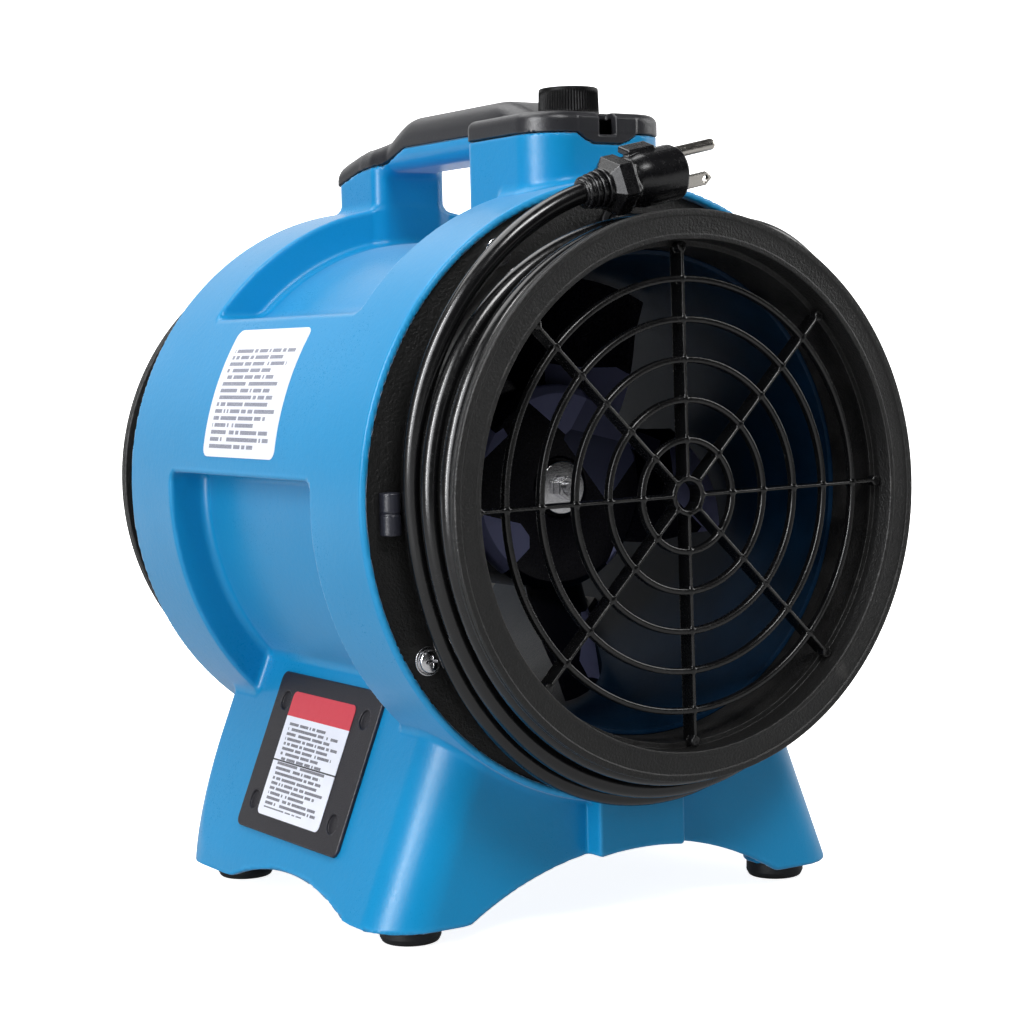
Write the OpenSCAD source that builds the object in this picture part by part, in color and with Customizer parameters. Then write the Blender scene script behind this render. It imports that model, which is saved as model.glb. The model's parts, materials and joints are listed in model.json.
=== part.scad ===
// Axial air mover: a moulded drum on a flared base, with an 8 inch duct collar at each end,
// a motor and impeller on the duct axis, a carry handle and a speed knob.
// Millimetres. Origin on the floor below the middle of the duct; the outlet faces -Y.

/* [Duct] */
// Height of the duct axis above the floor
axis_h = 159.4; // [158:0.1:161]
// Length over the two collars
overall_l = 275.4; // [274:0.1:280]
// Radius of the collar flange, which is the nominal duct size
flange_r = 101.6; // [101:0.1:102]
// Thickness of the collar flange
flange_t = 4; // [3:0.5:5]
// Bore radius of the duct through the housing
duct_r = 87; // [86.8:0.1:87.2]

/* [Drum] */
// Outer radius of the drum
drum_r = 114.8; // [114.5:0.1:116]
// Length of the drum
drum_l = 194.6; // [194:0.2:196]
// Wall thickness of the moulded housing
wall = 3; // [2.8:0.1:3.2]
// Radius of the floor of the side and top recesses
recess_r = 99; // [98.5:0.1:100]
// Front end of the recesses
recess_y0 = -59.2; // [-60:0.1:-58]
// Rear end of the recesses
recess_y1 = 58.3; // [57:0.1:59]

/* [Base] */
// Height of the base edge above the floor
base_z = 6.4; // [6:0.1:7]
// Half-width of the base where it meets its edge
base_half_w = 106.2; // [105:0.1:107]
// Sideways run of the base wall for each millimetre of height
base_flare = 0.4; // [0.38:0.01:0.42]
// Front face of the base
base_y0 = -92; // [-93:0.5:-91]
// Rear face of the base
base_y1 = 81; // [80:0.5:82]
// Plan radius of the base corners
base_corner_r = 21; // [20:1:24]
// Height of the floor plate that closes the wiring space
base_floor_z = 27; // [26.5:0.1:28]

/* [Tower and handle] */
// Half-width of the control tower
tower_half_w = 29.5; // [29:0.5:30]
// Front of the control tower
tower_y0 = -85.7; // [-86:0.1:-85]
// Rear of the control tower
tower_y1 = -34.7; // [-36:0.1:-34]
// Top of the blue tower, where the cover starts
tower_z = 291.9; // [291:0.1:292.5]
// Half-width of the handle bar
grip_half_w = 14.8; // [14:0.1:15]
// Half-width of the rear post
post_half_w = 16.3; // [16:0.1:17]
// Front of the rear post
post_y0 = 56.3; // [55:0.1:57]
// Rear of the rear post
post_y1 = 90.3; // [89:0.1:91]

/* [Controls] */
// Distance of the knob in front of the duct's middle
knob_y = -60.7; // [-61:0.1:-60]
// Radius of the speed knob
knob_r = 11.3; // [11:0.1:12]
// Top of the knob above the floor
knob_top = 310; // [309.5:0.1:310.5]

/* [Grille] */
// Number of spokes
spokes = 8; // [8:1:8]
// Radius of the innermost ring
ring_r0 = 20; // [19.5:0.1:20.5]
// Step from each ring to the next
ring_step = 14.3; // [14:0.05:14.4]
// Number of rings
rings = 5; // [5:1:5]

/* [Impeller] */
// Number of blades
blades = 5; // [4:1:6]
// Chord of a blade
blade_chord = 56; // [50:1:58]
// Radius of the hub
hub_r = 40; // [39.5:0.1:40.5]
// Radius over the blade tips
tip_r = 85; // [84:0.1:85.4]

/* [Cord] */
// Radius of the power cord
cord_r = 3.7; // [3.5:0.05:3.8]

/* [Hidden] */
$fn = 96;

eps = 0.02;              // small gap between parts that only touch
far = 400;               // longer than the object, for cutting solids
half_l = overall_l / 2;
half_drum = drum_l / 2;

// End panels, set inside the drum's rim
panel_t = 3;
panel_inset = 2.8;
rim_w = 2.8;
panel_r = drum_r - rim_w;
panel_y = half_drum - panel_inset;              // outer face of the panel
panel_back = panel_y - panel_t;                 // face of the housing's end wall
spigot_end = 107.2;                             // end of the housing's own duct tube
spigot_r = 88.8;                                // outside of the housing's duct tube there
seat_r = 90.9;                                  // counterbore that the grille sits in
seat_d = 9.5;
collar_r = 93;                                  // outside of the collar, where the cord winds
cavity_duct_r = 90;                             // outside of the duct wall inside the housing
upper_ledge = 68;                               // lower edge of the top recess, from the axis
lower_ledge = 8;                                // upper edge of the side recess, from the axis

cord_hole = 5;           // radius of the opening for the cord and its bush
collar_screw_r = 103.7;
collar_screw_a = [32, 122, 212, 302];
pilot_r = 1.6;

// Feet
foot_x = 85;
foot_y = [-72.7, 61.2];
foot_r = 11.3;
foot_column_r = 12.5;
arch_r = 132.6;
arch_front_top = 27;
arch_side_top = 15.4;
arch_side_y = -11.9;

// Front pad below the outlet
pad_half_w = 19.5;
pad_y = -100.5;

// Flared side wall: reference point and angle
flare_ref = [-85, axis_h - 100];
flare_a = atan(base_flare);
access_w = 64;           // up the slope
access_l = 82.4;
access_y = -2;
access_s = -3.8;         // centre, measured up the slope from the reference point
access_t = 1.5;
access_hole_dx = 20.4;
access_hole_dy = 32;

// Handle
grip_bottom = 288.4;
grip_fillet = 4.5;       // inner curve from the grip into the tower and the post
grip_part = 297.1;       // where the black grip meets the blue underside
grip_y0 = -38;
grip_step_y = -33.5;     // the cover is full depth in front of this
cover_wall = 2.6;
tower_corner = [16, 4];  // plan radii of the tower, front and rear
cap_h = 7.9;             // height of the cover's flat top above the tower
cover_screw_y = [-14, 28];

// Motor
bracket_y = 30;
shaft_r = 5;
bolt_r = 33.5;
rotor_r = 24;
stator_bore_r = 24.5;
motor_r = 39.5;
hub_y0 = -50;
hub_y1 = -8;

// ---------------------------------------------------------------- helpers

// Puts +Z of a child along +Y, on the duct axis, starting at y
module along_y(y) {
    translate([0, y, axis_h]) rotate([-90, 0, 0]) children();
}

// Turns a child about the duct axis, so that its +X points at angle a above the +X side
module at_angle(a) {
    translate([0, 0, axis_h]) rotate([0, -a, 0]) children();
}

module rod(r, y0, y1) {
    along_y(y0) cylinder(r = r, h = y1 - y0);
}

module tube(r_out, r_in, y0, y1) {
    difference() {
        rod(r_out, y0, y1);
        rod(r_in, y0 - 1, y1 + 1);
    }
}

// A solid of revolution about the duct axis; points are [radius, y]
module turned(points) {
    along_y(0) rotate_extrude() polygon(points);
}

module mirror_y() {
    mirror([0, 1, 0]) children();
}

module rounded_rect(w, h, r) {
    square([w - 2 * r, h], center = true);
    square([w, h - 2 * r], center = true);
    for (sx = [-1, 1], sy = [-1, 1])
        translate([sx * (w / 2 - r), sy * (h / 2 - r)]) circle(r);
}

// Rounded rectangle given by its edges, with its own front and rear corner radii
module rounded_span(half_w, y0, y1, r_front, r_rear) {
    translate([-half_w, y0 + r_front]) square([2 * half_w, y1 - y0 - r_front - r_rear]);
    translate([-half_w + r_front, y0]) square([2 * (half_w - r_front), r_front + eps]);
    translate([-half_w + r_rear, y1 - r_rear - eps]) square([2 * (half_w - r_rear), r_rear + eps]);
    for (s = [-1, 1]) {
        translate([s * (half_w - r_front), y0 + r_front]) circle(r_front);
        translate([s * (half_w - r_rear), y1 - r_rear]) circle(r_rear);
    }
}

// Cross-head screw along +Z: the head's top is at the origin and the shank runs to -Z
module screw(head_r, head_h, shank_r, length) {
    difference() {
        union() {
            translate([0, 0, -head_h]) cylinder(r1 = head_r, r2 = head_r * 0.72, h = head_h);
            translate([0, 0, -head_h - length]) cylinder(r = shank_r, h = length + eps);
        }
        for (a = [0, 90]) rotate([0, 0, a])
            translate([-head_r * 0.5, -0.45, -head_h * 0.6]) cube([head_r, 0.9, head_h]);
    }
}

// Hexagonal nut along +Z from the origin
module hex_nut(across, h, bore_r) {
    difference() {
        cylinder(d = across / cos(30), h = h, $fn = 6);
        translate([0, 0, -1]) cylinder(r = bore_r, h = h + 2);
    }
}

// Frame of the flared left wall: +Z points out of the wall, +X up the slope
module on_flare(s, y, out = 0) {
    translate([flare_ref[0], y, flare_ref[1]]) rotate([0, flare_a - 90, 0])
        translate([s, 0, out]) children();
}

// ---------------------------------------------------------------- housing

// Half-plane bands of the recesses, grown by g for the inside of the wall
module recess_cut(g) {
    intersection() {
        tube(drum_r + 20, recess_r - g, recess_y0 - g, recess_y1 + g);
        union() {
            translate([-far / 2, -far / 2, axis_h + upper_ledge - g]) cube(far);
            translate([-far / 2, -far / 2, axis_h + lower_ledge + g - far]) cube(far);
        }
    }
}

// The flared base as a solid, set in by g
module base_solid(g, z0) {
    top = axis_h - 50;
    low_w = base_half_w + base_flare * (base_z - z0) - g;
    high_w = base_half_w + base_flare * (base_z - top) - g;
    intersection() {
        translate([0, far / 2, 0]) rotate([90, 0, 0]) linear_extrude(far)
            polygon([[-low_w, z0], [low_w, z0], [high_w, top], [-high_w, top]]);
        linear_extrude(far) rounded_span(base_half_w - g, base_y0 + g, base_y1 - g,
            base_corner_r - g, base_corner_r - g);
    }
}

module tower_solid(g, z1) {
    z0 = axis_h + cavity_duct_r - 10;
    translate([0, 0, z0]) linear_extrude(z1 - z0)
        rounded_span(tower_half_w - g, tower_y0 + g, tower_y1 - g,
            tower_corner[0] - g, tower_corner[1] - g);
}

module post_solid(g, z1) {
    z0 = axis_h + cavity_duct_r - 10;
    translate([0, 0, z0]) linear_extrude(z1 - z0)
        rounded_span(post_half_w - g, post_y0 + g, post_y1 - g, 6 - g, 6 - g);
}

// Sloping lower edge of the cover along the post, seen from the side
module above_post_line(half_w) {
    rotate([90, 0, 90]) translate([0, 0, -half_w]) linear_extrude(2 * half_w)
        polygon([[38, 297.1], [56, 291.4], [72, 289.8], [post_y1 + 0.3, 284.8],
            [110, 284.8], [110, 330], [38, 330]]);
}

// Blue underside of the grip, with a curve down into the post
module grip_lower() {
    difference() {
        union() {
            translate([-grip_half_w, grip_y0, grip_bottom])
                cube([2 * grip_half_w, post_y0 + 4 - grip_y0, grip_part - grip_bottom]);
            for (y = [tower_y1 - 1, post_y0 + 1.5 - grip_fillet])
                translate([-grip_half_w, y, grip_bottom + 0.5 - grip_fillet])
                    cube([2 * grip_half_w, grip_fillet - 0.5, grip_fillet]);
        }
        for (y = [tower_y1 - 1 + grip_fillet, post_y0 + 1 - grip_fillet])
            translate([-far / 2, y, grip_bottom - grip_fillet]) rotate([0, 90, 0])
                cylinder(r = grip_fillet, h = far);
        translate([-grip_half_w + wall, grip_y0 - 1, grip_bottom + wall])
            cube([2 * (grip_half_w - wall), post_y0 + 10 - grip_y0, 20]);
        translate([-far / 2, grip_step_y + eps - 20, tower_z - eps]) cube([far, 20, 20]);
        above_post_line(grip_half_w + 1);
        for (y = cover_screw_y) translate([0, y, grip_bottom - 1]) {
            cylinder(r = 2, h = 10);
            cylinder(r = 3.6, h = 2.4);
        }
    }
}

module arches() {
    translate([0, far / 2, arch_front_top - arch_r]) rotate([90, 0, 0])
        cylinder(r = arch_r, h = far);
    translate([-far / 2, arch_side_y, arch_side_top - arch_r]) rotate([0, 90, 0])
        cylinder(r = arch_r, h = far);
}

module housing_outer() {
    difference() {
        rod(drum_r, -half_drum, half_drum);
        recess_cut(0);
    }
    difference() {
        union() {
            base_solid(0, base_z);
            translate([-pad_half_w, pad_y, base_z])
                cube([2 * pad_half_w, base_y0 - pad_y + 6, axis_h - drum_r + 6 - base_z]);
        }
        arches();
    }
    difference() {
        tower_solid(0, tower_z);
        front_tab(0.1);
    }
    difference() {
        post_solid(0, 300);
        above_post_line(post_half_w + 1);
    }
    for (s = [-1, 1])
        rod(spigot_r, s > 0 ? 0 : -spigot_end, s > 0 ? spigot_end : 0);
}

module housing_cavity() {
    difference() {
        union() {
            difference() {
                rod(drum_r - wall, -panel_back + wall, panel_back - wall);
                recess_cut(wall);
            }
            base_solid(wall, base_floor_z + wall);
            tower_solid(wall, tower_z + 1);
            post_solid(wall, 301);
        }
        rod(cavity_duct_r, -half_drum, half_drum);
    }
}

module housing() {
    color("#3d9be0") difference() {
        union() {
            difference() {
                housing_outer();
                housing_cavity();
                // hollow under the floor plate, closed by the skirt
                intersection() {
                    base_solid(wall, base_z);
                    translate([-far / 2, -far / 2, -1]) cube([far, far, base_floor_z + 1]);
                }
                // seats of the end panels
                for (s = [0, 1]) mirror([0, s, 0])
                    tube(panel_r, spigot_r, -half_drum - 1, -panel_back);
                // opening behind the access panel
                on_flare(access_s, access_y, -wall - 3) linear_extrude(wall + 6)
                    rounded_rect(30, 52, 5);
            }
            grip_lower();
            intersection() {
                base_solid(0, base_z);
                for (sx = [-1, 1], y = foot_y)
                    translate([sx * foot_x, y, base_z]) cylinder(r = foot_column_r,
                        h = base_floor_z - base_z + 1);
            }
            // bosses of the motor bracket and of the end panels
            for (a = [45:90:315]) bracket_screw_place(a) translate([0, 0, 2 - recess_r + duct_r])
                cylinder(r = 4.5, h = recess_r - duct_r - 4.5);
            for (s = [0, 1], a = collar_screw_a) mirror([0, s, 0]) at_angle(a)
                translate([collar_screw_r, -panel_back + 0.5, 0]) rotate([-90, 0, 0])
                    cylinder(r = 4.5, h = 11);
            // bosses behind the access panel screws
            access_screw_places(-wall - 6) cylinder(r = 3.6, h = wall + 6 - 1);
        }
        rod(duct_r, -far / 2, far / 2);
        for (a = [45:90:315]) bracket_screw_place(a) translate([0, 0, -9])
            cylinder(r = pilot_r + 0.3, h = 12);
        for (s = [0, 1], a = collar_screw_a) mirror([0, s, 0]) at_angle(a)
            translate([collar_screw_r, -panel_back - 1, 0]) rotate([-90, 0, 0])
                cylinder(r = pilot_r + 0.05, h = 11);
        for (sx = [-1, 1], y = foot_y)
            translate([sx * foot_x, y, base_z - 1]) cylinder(r = pilot_r + 0.3, h = 15);
        access_screw_places(-wall - 5) cylinder(r = pilot_r + 0.05, h = wall + 8);
        // cord and motor lead openings
        cord_place(-panel_back - 1) cylinder(r = cord_hole, h = 8);
        translate([0, motor_lead_y, axis_h - cavity_duct_r - 3]) cylinder(r = 4.5, h = 8);
        // strap and terminal block screw holes
        for (x = strap_screw_x) translate([x, strap_y, base_floor_z + 0.8])
            cylinder(r = pilot_r, h = wall + 1);
        terminal_screw_places(base_floor_z + 0.8) cylinder(r = 1.3, h = wall + 1);
        // shallow seat of the rating label
        rating_sector(drum_r - label_t, drum_r + 5, 0.15);
    }
}

// ---------------------------------------------------------------- cover and grip

// Latch tab that drops over the front of the tower, with its slot
module front_tab(grow) {
    translate([0, tower_y0 + wall, 0]) rotate([90, 0, 0]) linear_extrude(wall + 0.6 + grow)
        polygon([[-13 - grow, tower_z + eps], [-10 - grow, 289.6], [-6, 288.1 - grow],
            [6, 288.1 - grow], [10 + grow, 289.6], [13 + grow, tower_z + eps]]);
}

// Side outline of the cover between the tower and its rear end
module cover_profile() {
    polygon([[-60, 297], [-55, 301.2], [-49.7, 303.2], [-39.7, 306.8], [-34.7, 309.2], [37.3, 309.2],
        [42.3, 307.9], [50.3, 304.4], [57.3, 299.2], [65.3, 298.6], [72.3, 298.2], [88.3, 294],
        [95, 290], [94, 284.8], [post_y1 + 0.4, 284.8], [72, 289.8], [56, 291.4], [38, grip_part],
        [grip_step_y, grip_part], [grip_step_y, tower_z], [-60, tower_z]]);
}

module top_cover() {
    color("#1c1c1f") difference() {
        union() {
            difference() {
                union() {
                    translate([0, 0, tower_z]) linear_extrude(cap_h)
                        rounded_span(tower_half_w + 0.3, tower_y0 - 0.3, tower_y1 + 0.3,
                            tower_corner[0], tower_corner[1]);
                    rotate([90, 0, 90]) translate([0, 0, -grip_half_w])
                        linear_extrude(2 * grip_half_w) cover_profile();
                    intersection() {
                        rotate([90, 0, 90]) translate([0, 0, -post_half_w])
                            linear_extrude(2 * post_half_w) cover_profile();
                        translate([-far / 2, post_y0 - 2, 0]) cube(far);
                    }
                }
                // hollow inside of the cap, grip and post cover
                translate([0, 0, tower_z - 1]) linear_extrude(7)
                    rounded_span(tower_half_w - wall, tower_y0 + wall, tower_y1 - wall,
                        tower_corner[0] - wall, tower_corner[1] - wall);
                rotate([90, 0, 90]) translate([0, 0, -grip_half_w + cover_wall])
                    linear_extrude(2 * (grip_half_w - cover_wall))
                        polygon([[-46, 290], [-46, 300], [-36, 305.8], [36, 306], [49, 301.4],
                            [56, 296.2], [68, 295.4], [86, 291], [87.3, 280], [-30, 280]]);
            }
            front_tab(0);
            for (y = cover_screw_y)
                translate([0, y, grip_bottom + wall + eps]) cylinder(r = 4, h = 16);
        }
        translate([-3.5, tower_y0 - 10, 291.4]) cube([7, 12, 5]);
        for (y = cover_screw_y) translate([0, y, grip_bottom]) cylinder(r = 1.65, h = 16);
        translate([0, knob_y, tower_z]) cylinder(r = 4.75, h = 20);
        translate([0, knob_y, cap_plate_top]) cylinder(r = knob_r + 0.7, h = 20);
    }
}

module cover_screws() {
    color("#9a9ca0") for (y = cover_screw_y)
        translate([0, y, grip_bottom + 0.2]) rotate([180, 0, 0]) screw(3.3, 1.2, 1.6, 11);
}

// ---------------------------------------------------------------- collars and grilles

// Half-section of the front collar: flange, spigot and end panel in one moulding
module collar_body() {
    turned([[seat_r, -half_l], [flange_r - 0.6, -half_l], [flange_r, -half_l + 0.6],
        [flange_r, -half_l + flange_t], [collar_r, -half_l + flange_t], [collar_r, -panel_y],
        [panel_r - 0.1, -panel_y], [panel_r - 0.1, -panel_back], [spigot_r + 0.05, -panel_back],
        [spigot_r + 0.05, -half_l + seat_d], [seat_r, -half_l + seat_d]]);
}

module collar_screw_places(y) {
    for (a = collar_screw_a) at_angle(a) translate([collar_screw_r, y, 0])
        rotate([90, 0, 0]) children();
}

module front_collar() {
    color("#26262a") difference() {
        collar_body();
        collar_screw_places(-panel_y + 10) cylinder(r = 2.1, h = 20);
        cord_place(-panel_y - 1) cylinder(r = cord_hole, h = 6);
    }
}

module rear_collar() {
    color("#26262a") mirror_y() difference() {
        collar_body();
        collar_screw_places(-panel_y + 10) cylinder(r = 2.1, h = 20);
    }
}

// Washers lie on the panels, and the screws' heads on the washers
module collar_washers() {
    color("#d5d7db") for (s = [0, 1]) mirror([0, s, 0])
        collar_screw_places(-panel_y) difference() {
            cylinder(r = 5.3, h = 0.9);
            translate([0, 0, -1]) cylinder(r = 1.9, h = 3);
        }
}

module collar_screws() {
    color("#d5d7db") for (s = [0, 1]) mirror([0, s, 0])
        collar_screw_places(-panel_y - 0.9 - 2.4) screw(4.2, 2.4, pilot_r, 10);
}

grille_y = -half_l + 5.7;    // front of the outlet grille
spoke_depth = 7;
spoke_t = 1.3;
ring_t = 2.4;
ring_depth = 3;
grille_turn = 0.8;
hub_ring_r = 7.2;

module grille_body() {
    tube(hub_ring_r, 5.2, grille_y, grille_y + spoke_depth);
    for (i = [0:rings - 1])
        tube(ring_r0 + i * ring_step + ring_t / 2, ring_r0 + i * ring_step - ring_t / 2,
            grille_y, grille_y + ring_depth);
    for (i = [0:spokes - 1]) at_angle(i * 360 / spokes + grille_turn) {
        translate([6, grille_y, -spoke_t / 2]) cube([spigot_r - 6.2, spoke_depth, spoke_t]);
        translate([seat_r - 2.15, grille_y, 0]) rotate([-90, 0, 0])
            cylinder(r = 2, h = seat_d - 5.7);
    }
}

module front_grille() {
    color("#1a1a1c") grille_body();
}

module rear_grille() {
    color("#1a1a1c") mirror_y() grille_body();
}

// ---------------------------------------------------------------- feet and side panel

module rubber_feet() {
    color("#141416") for (sx = [-1, 1], y = foot_y) translate([sx * foot_x, y, 0])
        rotate_extrude() difference() {
            union() {
                translate([2.1, 0]) square([foot_r - 3 - 2.1, base_z]);
                translate([2.1, 3]) square([foot_r - 2.1, base_z - 3]);
                translate([foot_r - 3, 3]) circle(3);
            }
            square([4.6, 2.6]);
        }
}

module foot_screws() {
    color("#9a9ca0") for (sx = [-1, 1], y = foot_y)
        translate([sx * foot_x, y, 0.4]) rotate([180, 0, 0]) screw(4, 2.2, 1.9, 14);
}

module access_screw_places(out) {
    for (sx = [-1, 1], sy = [-1, 1])
        on_flare(access_s + sx * access_hole_dx, access_y + sy * access_hole_dy, out) children();
}

module access_panel() {
    color("#2c2b33") difference() {
        on_flare(access_s, access_y, 0.01) linear_extrude(access_t)
            rounded_rect(access_w, access_l, 6);
        access_screw_places(-1) cylinder(r = 1.9, h = 5);
        access_screw_places(access_t - 0.89) cylinder(r = 3.3, h = 3);
    }
}

module access_panel_screws() {
    color("#303136") access_screw_places(access_t - 0.1) screw(3.1, 0.78, pilot_r, 7);
}

module access_label() {
    color("#e9e9ec") on_flare(access_s + 2.6, -0.5, access_t + 0.02) linear_extrude(0.25)
        rounded_rect(50, 50.5, 2);
}

label_t = 0.35;
label_y = [-31.2, 28.8];
label_a = [7.5, 33.5];       // height of the label's edges, as angles above the level of the axis

// Piece of a thin shell on the left of the drum
module rating_sector(r_in, r_out, grow) {
    intersection() {
        tube(r_out, r_in, label_y[0] - grow, label_y[1] + grow);
        translate([-far / 2, -far / 2, axis_h + drum_r * sin(label_a[0]) - grow])
            cube([far / 2, far, drum_r * (sin(label_a[1]) - sin(label_a[0])) + 2 * grow]);
    }
}

module rating_label() {
    color("#ececee") rating_sector(drum_r - label_t + 0.01, drum_r, 0);
}

// ---------------------------------------------------------------- rotating parts

// One pitched blade: a strip of a thin cylinder, bent along its chord
module blade(i) {
    bend_r = 70;
    blade_t = 2.4;
    at_angle(i * 360 / blades) translate([0, (hub_y0 + hub_y1) / 2, 0]) rotate([54, 0, 0])
        translate([0, 0, -bend_r + 4]) rotate([0, 90, 0]) intersection() {
            difference() {
                cylinder(r = bend_r, h = tip_r + 10);
                translate([0, 0, -1]) cylinder(r = bend_r - blade_t, h = tip_r + 20);
            }
            translate([-bend_r - 5, -blade_chord / 2, hub_r - 4])
                cube([bend_r, blade_chord, tip_r]);
        }
}

module impeller() {
    color("#17171a") difference() {
        union() {
            rod(hub_r, hub_y0, hub_y1);
            intersection() {
                union() {
                    for (i = [0:blades - 1]) blade(i);
                }
                tube(tip_r, hub_r - 1, hub_y0 + 1, hub_y1);
            }
        }
        tube(hub_r - 2.5, 9, hub_y0 + 3.5, hub_y1 + 1);
        rod(hub_r - 2.5, hub_y1 - 14, hub_y1 + 1);
        rod(shaft_r + 0.01, hub_y0 - 1, hub_y1 + 1);
    }
}

module impeller_washer() {
    color("#b9bbc0") tube(10.3, 2.6, hub_y0 - 1.5, hub_y0 - eps);
}

module impeller_nut() {
    color("#b9bbc0") along_y(hub_y0 - 5.6) hex_nut(8, 4, 2.55);
}

// Stepped shaft, threaded for the nut at its front end
module motor_shaft() {
    color("#b4b6ba") union() {
        rod(2.5, hub_y0 - 7.5, hub_y0);
        rod(shaft_r, hub_y0, 68);
    }
}

module rotor_core() {
    color("#8f9196") tube(rotor_r, shaft_r + 0.01, 12, 46);
}

// ---------------------------------------------------------------- motor, fixed parts

module bearing() {
    difference() {
        cylinder(r = 11, h = 7);
        translate([0, 0, -1]) cylinder(r = shaft_r + 0.03, h = 9);
    }
}

module front_bearing() {
    color("#c9cbd0") along_y(-0.5) bearing();
}

module rear_bearing() {
    color("#c9cbd0") along_y(54.5) bearing();
}

module bolt_circle() {
    for (a = [45:90:315]) at_angle(a) translate([bolt_r, 0, 0]) children();
}

// Cup-shaped end bell from y = 0 (open edge) to y = -depth (closed end)
module end_bell(depth, boss_y) {
    difference() {
        union() {
            tube(motor_r, motor_r - 3, -depth, 0);
            tube(motor_r, 14, -depth, -depth + 3);
            tube(14, 11.01, -depth, boss_y);
            for (a = [45:90:315]) at_angle(a) translate([bolt_r, -depth, 0])
                rotate([-90, 0, 0]) cylinder(r = 4.5, h = depth);
        }
        bolt_circle() translate([0, -depth - 1, 0]) rotate([-90, 0, 0])
            cylinder(r = 2.05, h = depth + 2);
    }
}

module front_end_bell() {
    color("#54565c") translate([0, 16, 0]) end_bell(17, -8);
}

module rear_end_bell() {
    color("#54565c") translate([0, 44, 0]) mirror_y() end_bell(18, -9);
}

module stator_core() {
    color("#7c7e84") difference() {
        tube(motor_r, stator_bore_r, 16.01, 43.99);
        bolt_circle() translate([0, 10, 0]) rotate([-90, 0, 0]) cylinder(r = 2.05, h = 40);
    }
}

module stator_winding() {
    color("#b8713a") {
        tube(28.8, 25, 8.5, 16);
        tube(28.8, 25, 44, 51.5);
    }
}

module motor_through_bolts() {
    color("#b4b6ba") bolt_circle() translate([0, -4.4, 0]) rotate([90, 0, 0])
        screw(3.8, 3.4, 2, 66);
}

// Band round the motor with four flat arms to feet on the duct wall
module motor_bracket() {
    color("#2a2b2f") difference() {
        union() {
            tube(motor_r + 2.5, motor_r + eps, bracket_y - 7, bracket_y + 7);
            for (a = [45:90:315]) {
                at_angle(a) translate([motor_r + 1, bracket_y - 7, -1.25])
                    cube([duct_r - motor_r - 2.2, 14, 2.5]);
                intersection() {
                    tube(duct_r - eps, duct_r - 2, bracket_y - 7, bracket_y + 7);
                    at_angle(a) translate([40, bracket_y - 7, -9]) cube([60, 14, 18]);
                }
            }
        }
        for (a = [45:90:315]) bracket_screw_place(a) {
            translate([0, 0, -10]) cylinder(r = 1.95, h = 20);
            cylinder(r = 3.4, h = 6);
        }
    }
}

// A screw beside each arm, pointing out through the duct wall
module bracket_screw_place(a) {
    at_angle(a) translate([duct_r - 2, bracket_y, 5.2]) rotate([0, -90, 0]) children();
}

module bracket_screws() {
    color("#b4b6ba") for (a = [45:90:315]) bracket_screw_place(a)
        translate([0, 0, 2.2 + eps]) screw(3.2, 2.2, 1.85, 8);
}

// ---------------------------------------------------------------- electrics in the base

strap_y = -10;
cap_x = 34;
cap_r = 17.5;
strap_screw_x = [cap_x - 24, cap_x + 24];
floor_top = base_floor_z + wall;

module run_capacitor() {
    color("#aeb0b5") {
        translate([cap_x, -42, floor_top + cap_r + eps]) rotate([-90, 0, 0])
            cylinder(r = cap_r, h = 62);
        for (dx = [-6, 6]) translate([cap_x + dx - 2.5, -50, floor_top + cap_r])
            cube([5, 9, 0.9]);
    }
}

module capacitor_strap() {
    color("#3c3d42") difference() {
        union() {
            intersection() {
                translate([cap_x, strap_y - 6, floor_top + cap_r]) rotate([-90, 0, 0])
                    difference() {
                        cylinder(r = cap_r + 1.3, h = 12);
                        translate([0, 0, -1]) cylinder(r = cap_r + 0.05, h = 14);
                    }
                translate([cap_x - 30, strap_y - 6, floor_top + cap_r]) cube([60, 12, 40]);
            }
            for (s = [-1, 1]) {
                translate([cap_x + s * (cap_r + 0.7) - 0.6, strap_y - 6, floor_top + eps])
                    cube([1.2, 12, cap_r]);
                translate([cap_x + s * (cap_r + 6) - 6, strap_y - 6, floor_top + eps])
                    cube([12, 12, 1.3]);
            }
        }
        for (x = strap_screw_x) translate([x, strap_y, floor_top - 1]) cylinder(r = 1.8, h = 5);
    }
}

module strap_screws() {
    color("#b4b6ba") for (x = strap_screw_x) translate([x, strap_y, floor_top + 3.6])
        screw(3, 2.2, pilot_r - 0.05, 3.4);
}

block = [44, 18, 13];
block_at = [-46, -62];

module terminal_screw_places(z) {
    for (dx = [-18, 18]) translate([block_at[0] + dx, block_at[1], z]) children();
}

module terminal_block() {
    color("#ddd9cf") difference() {
        translate([block_at[0] - block[0] / 2, block_at[1] - block[1] / 2, floor_top + eps])
            cube(block);
        terminal_screw_places(floor_top - 1) cylinder(r = 1.5, h = 30);
        for (i = [-1, 0, 1]) translate([block_at[0] + i * 10 - 3.5, block_at[1] - 20,
            floor_top + 7]) cube([7, 40, 10]);
    }
}

module terminal_screws() {
    color("#b4b6ba") terminal_screw_places(floor_top + block[2] + 2.1)
        screw(2.7, 2, 1.25, block[2] + 1.6);
}

// Sheathed lead from the motor down through the duct wall into the base
motor_lead_y = 50;
motor_lead_r = 2.4;
module motor_lead() {
    turn_z = axis_h - 100;
    color("#26272b") union() {
        translate([0, motor_lead_y, turn_z]) cylinder(r = motor_lead_r, h = 100 - motor_r - 0.1);
        translate([0, motor_lead_y, turn_z]) sphere(r = motor_lead_r);
        translate([-38, motor_lead_y, turn_z]) rotate([0, 90, 0]) cylinder(r = motor_lead_r, h = 38);
        translate([-38, motor_lead_y, turn_z]) sphere(r = motor_lead_r);
        translate([-38, -48, turn_z]) rotate([-90, 0, 0]) cylinder(r = motor_lead_r, h = 98);
    }
}

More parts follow.
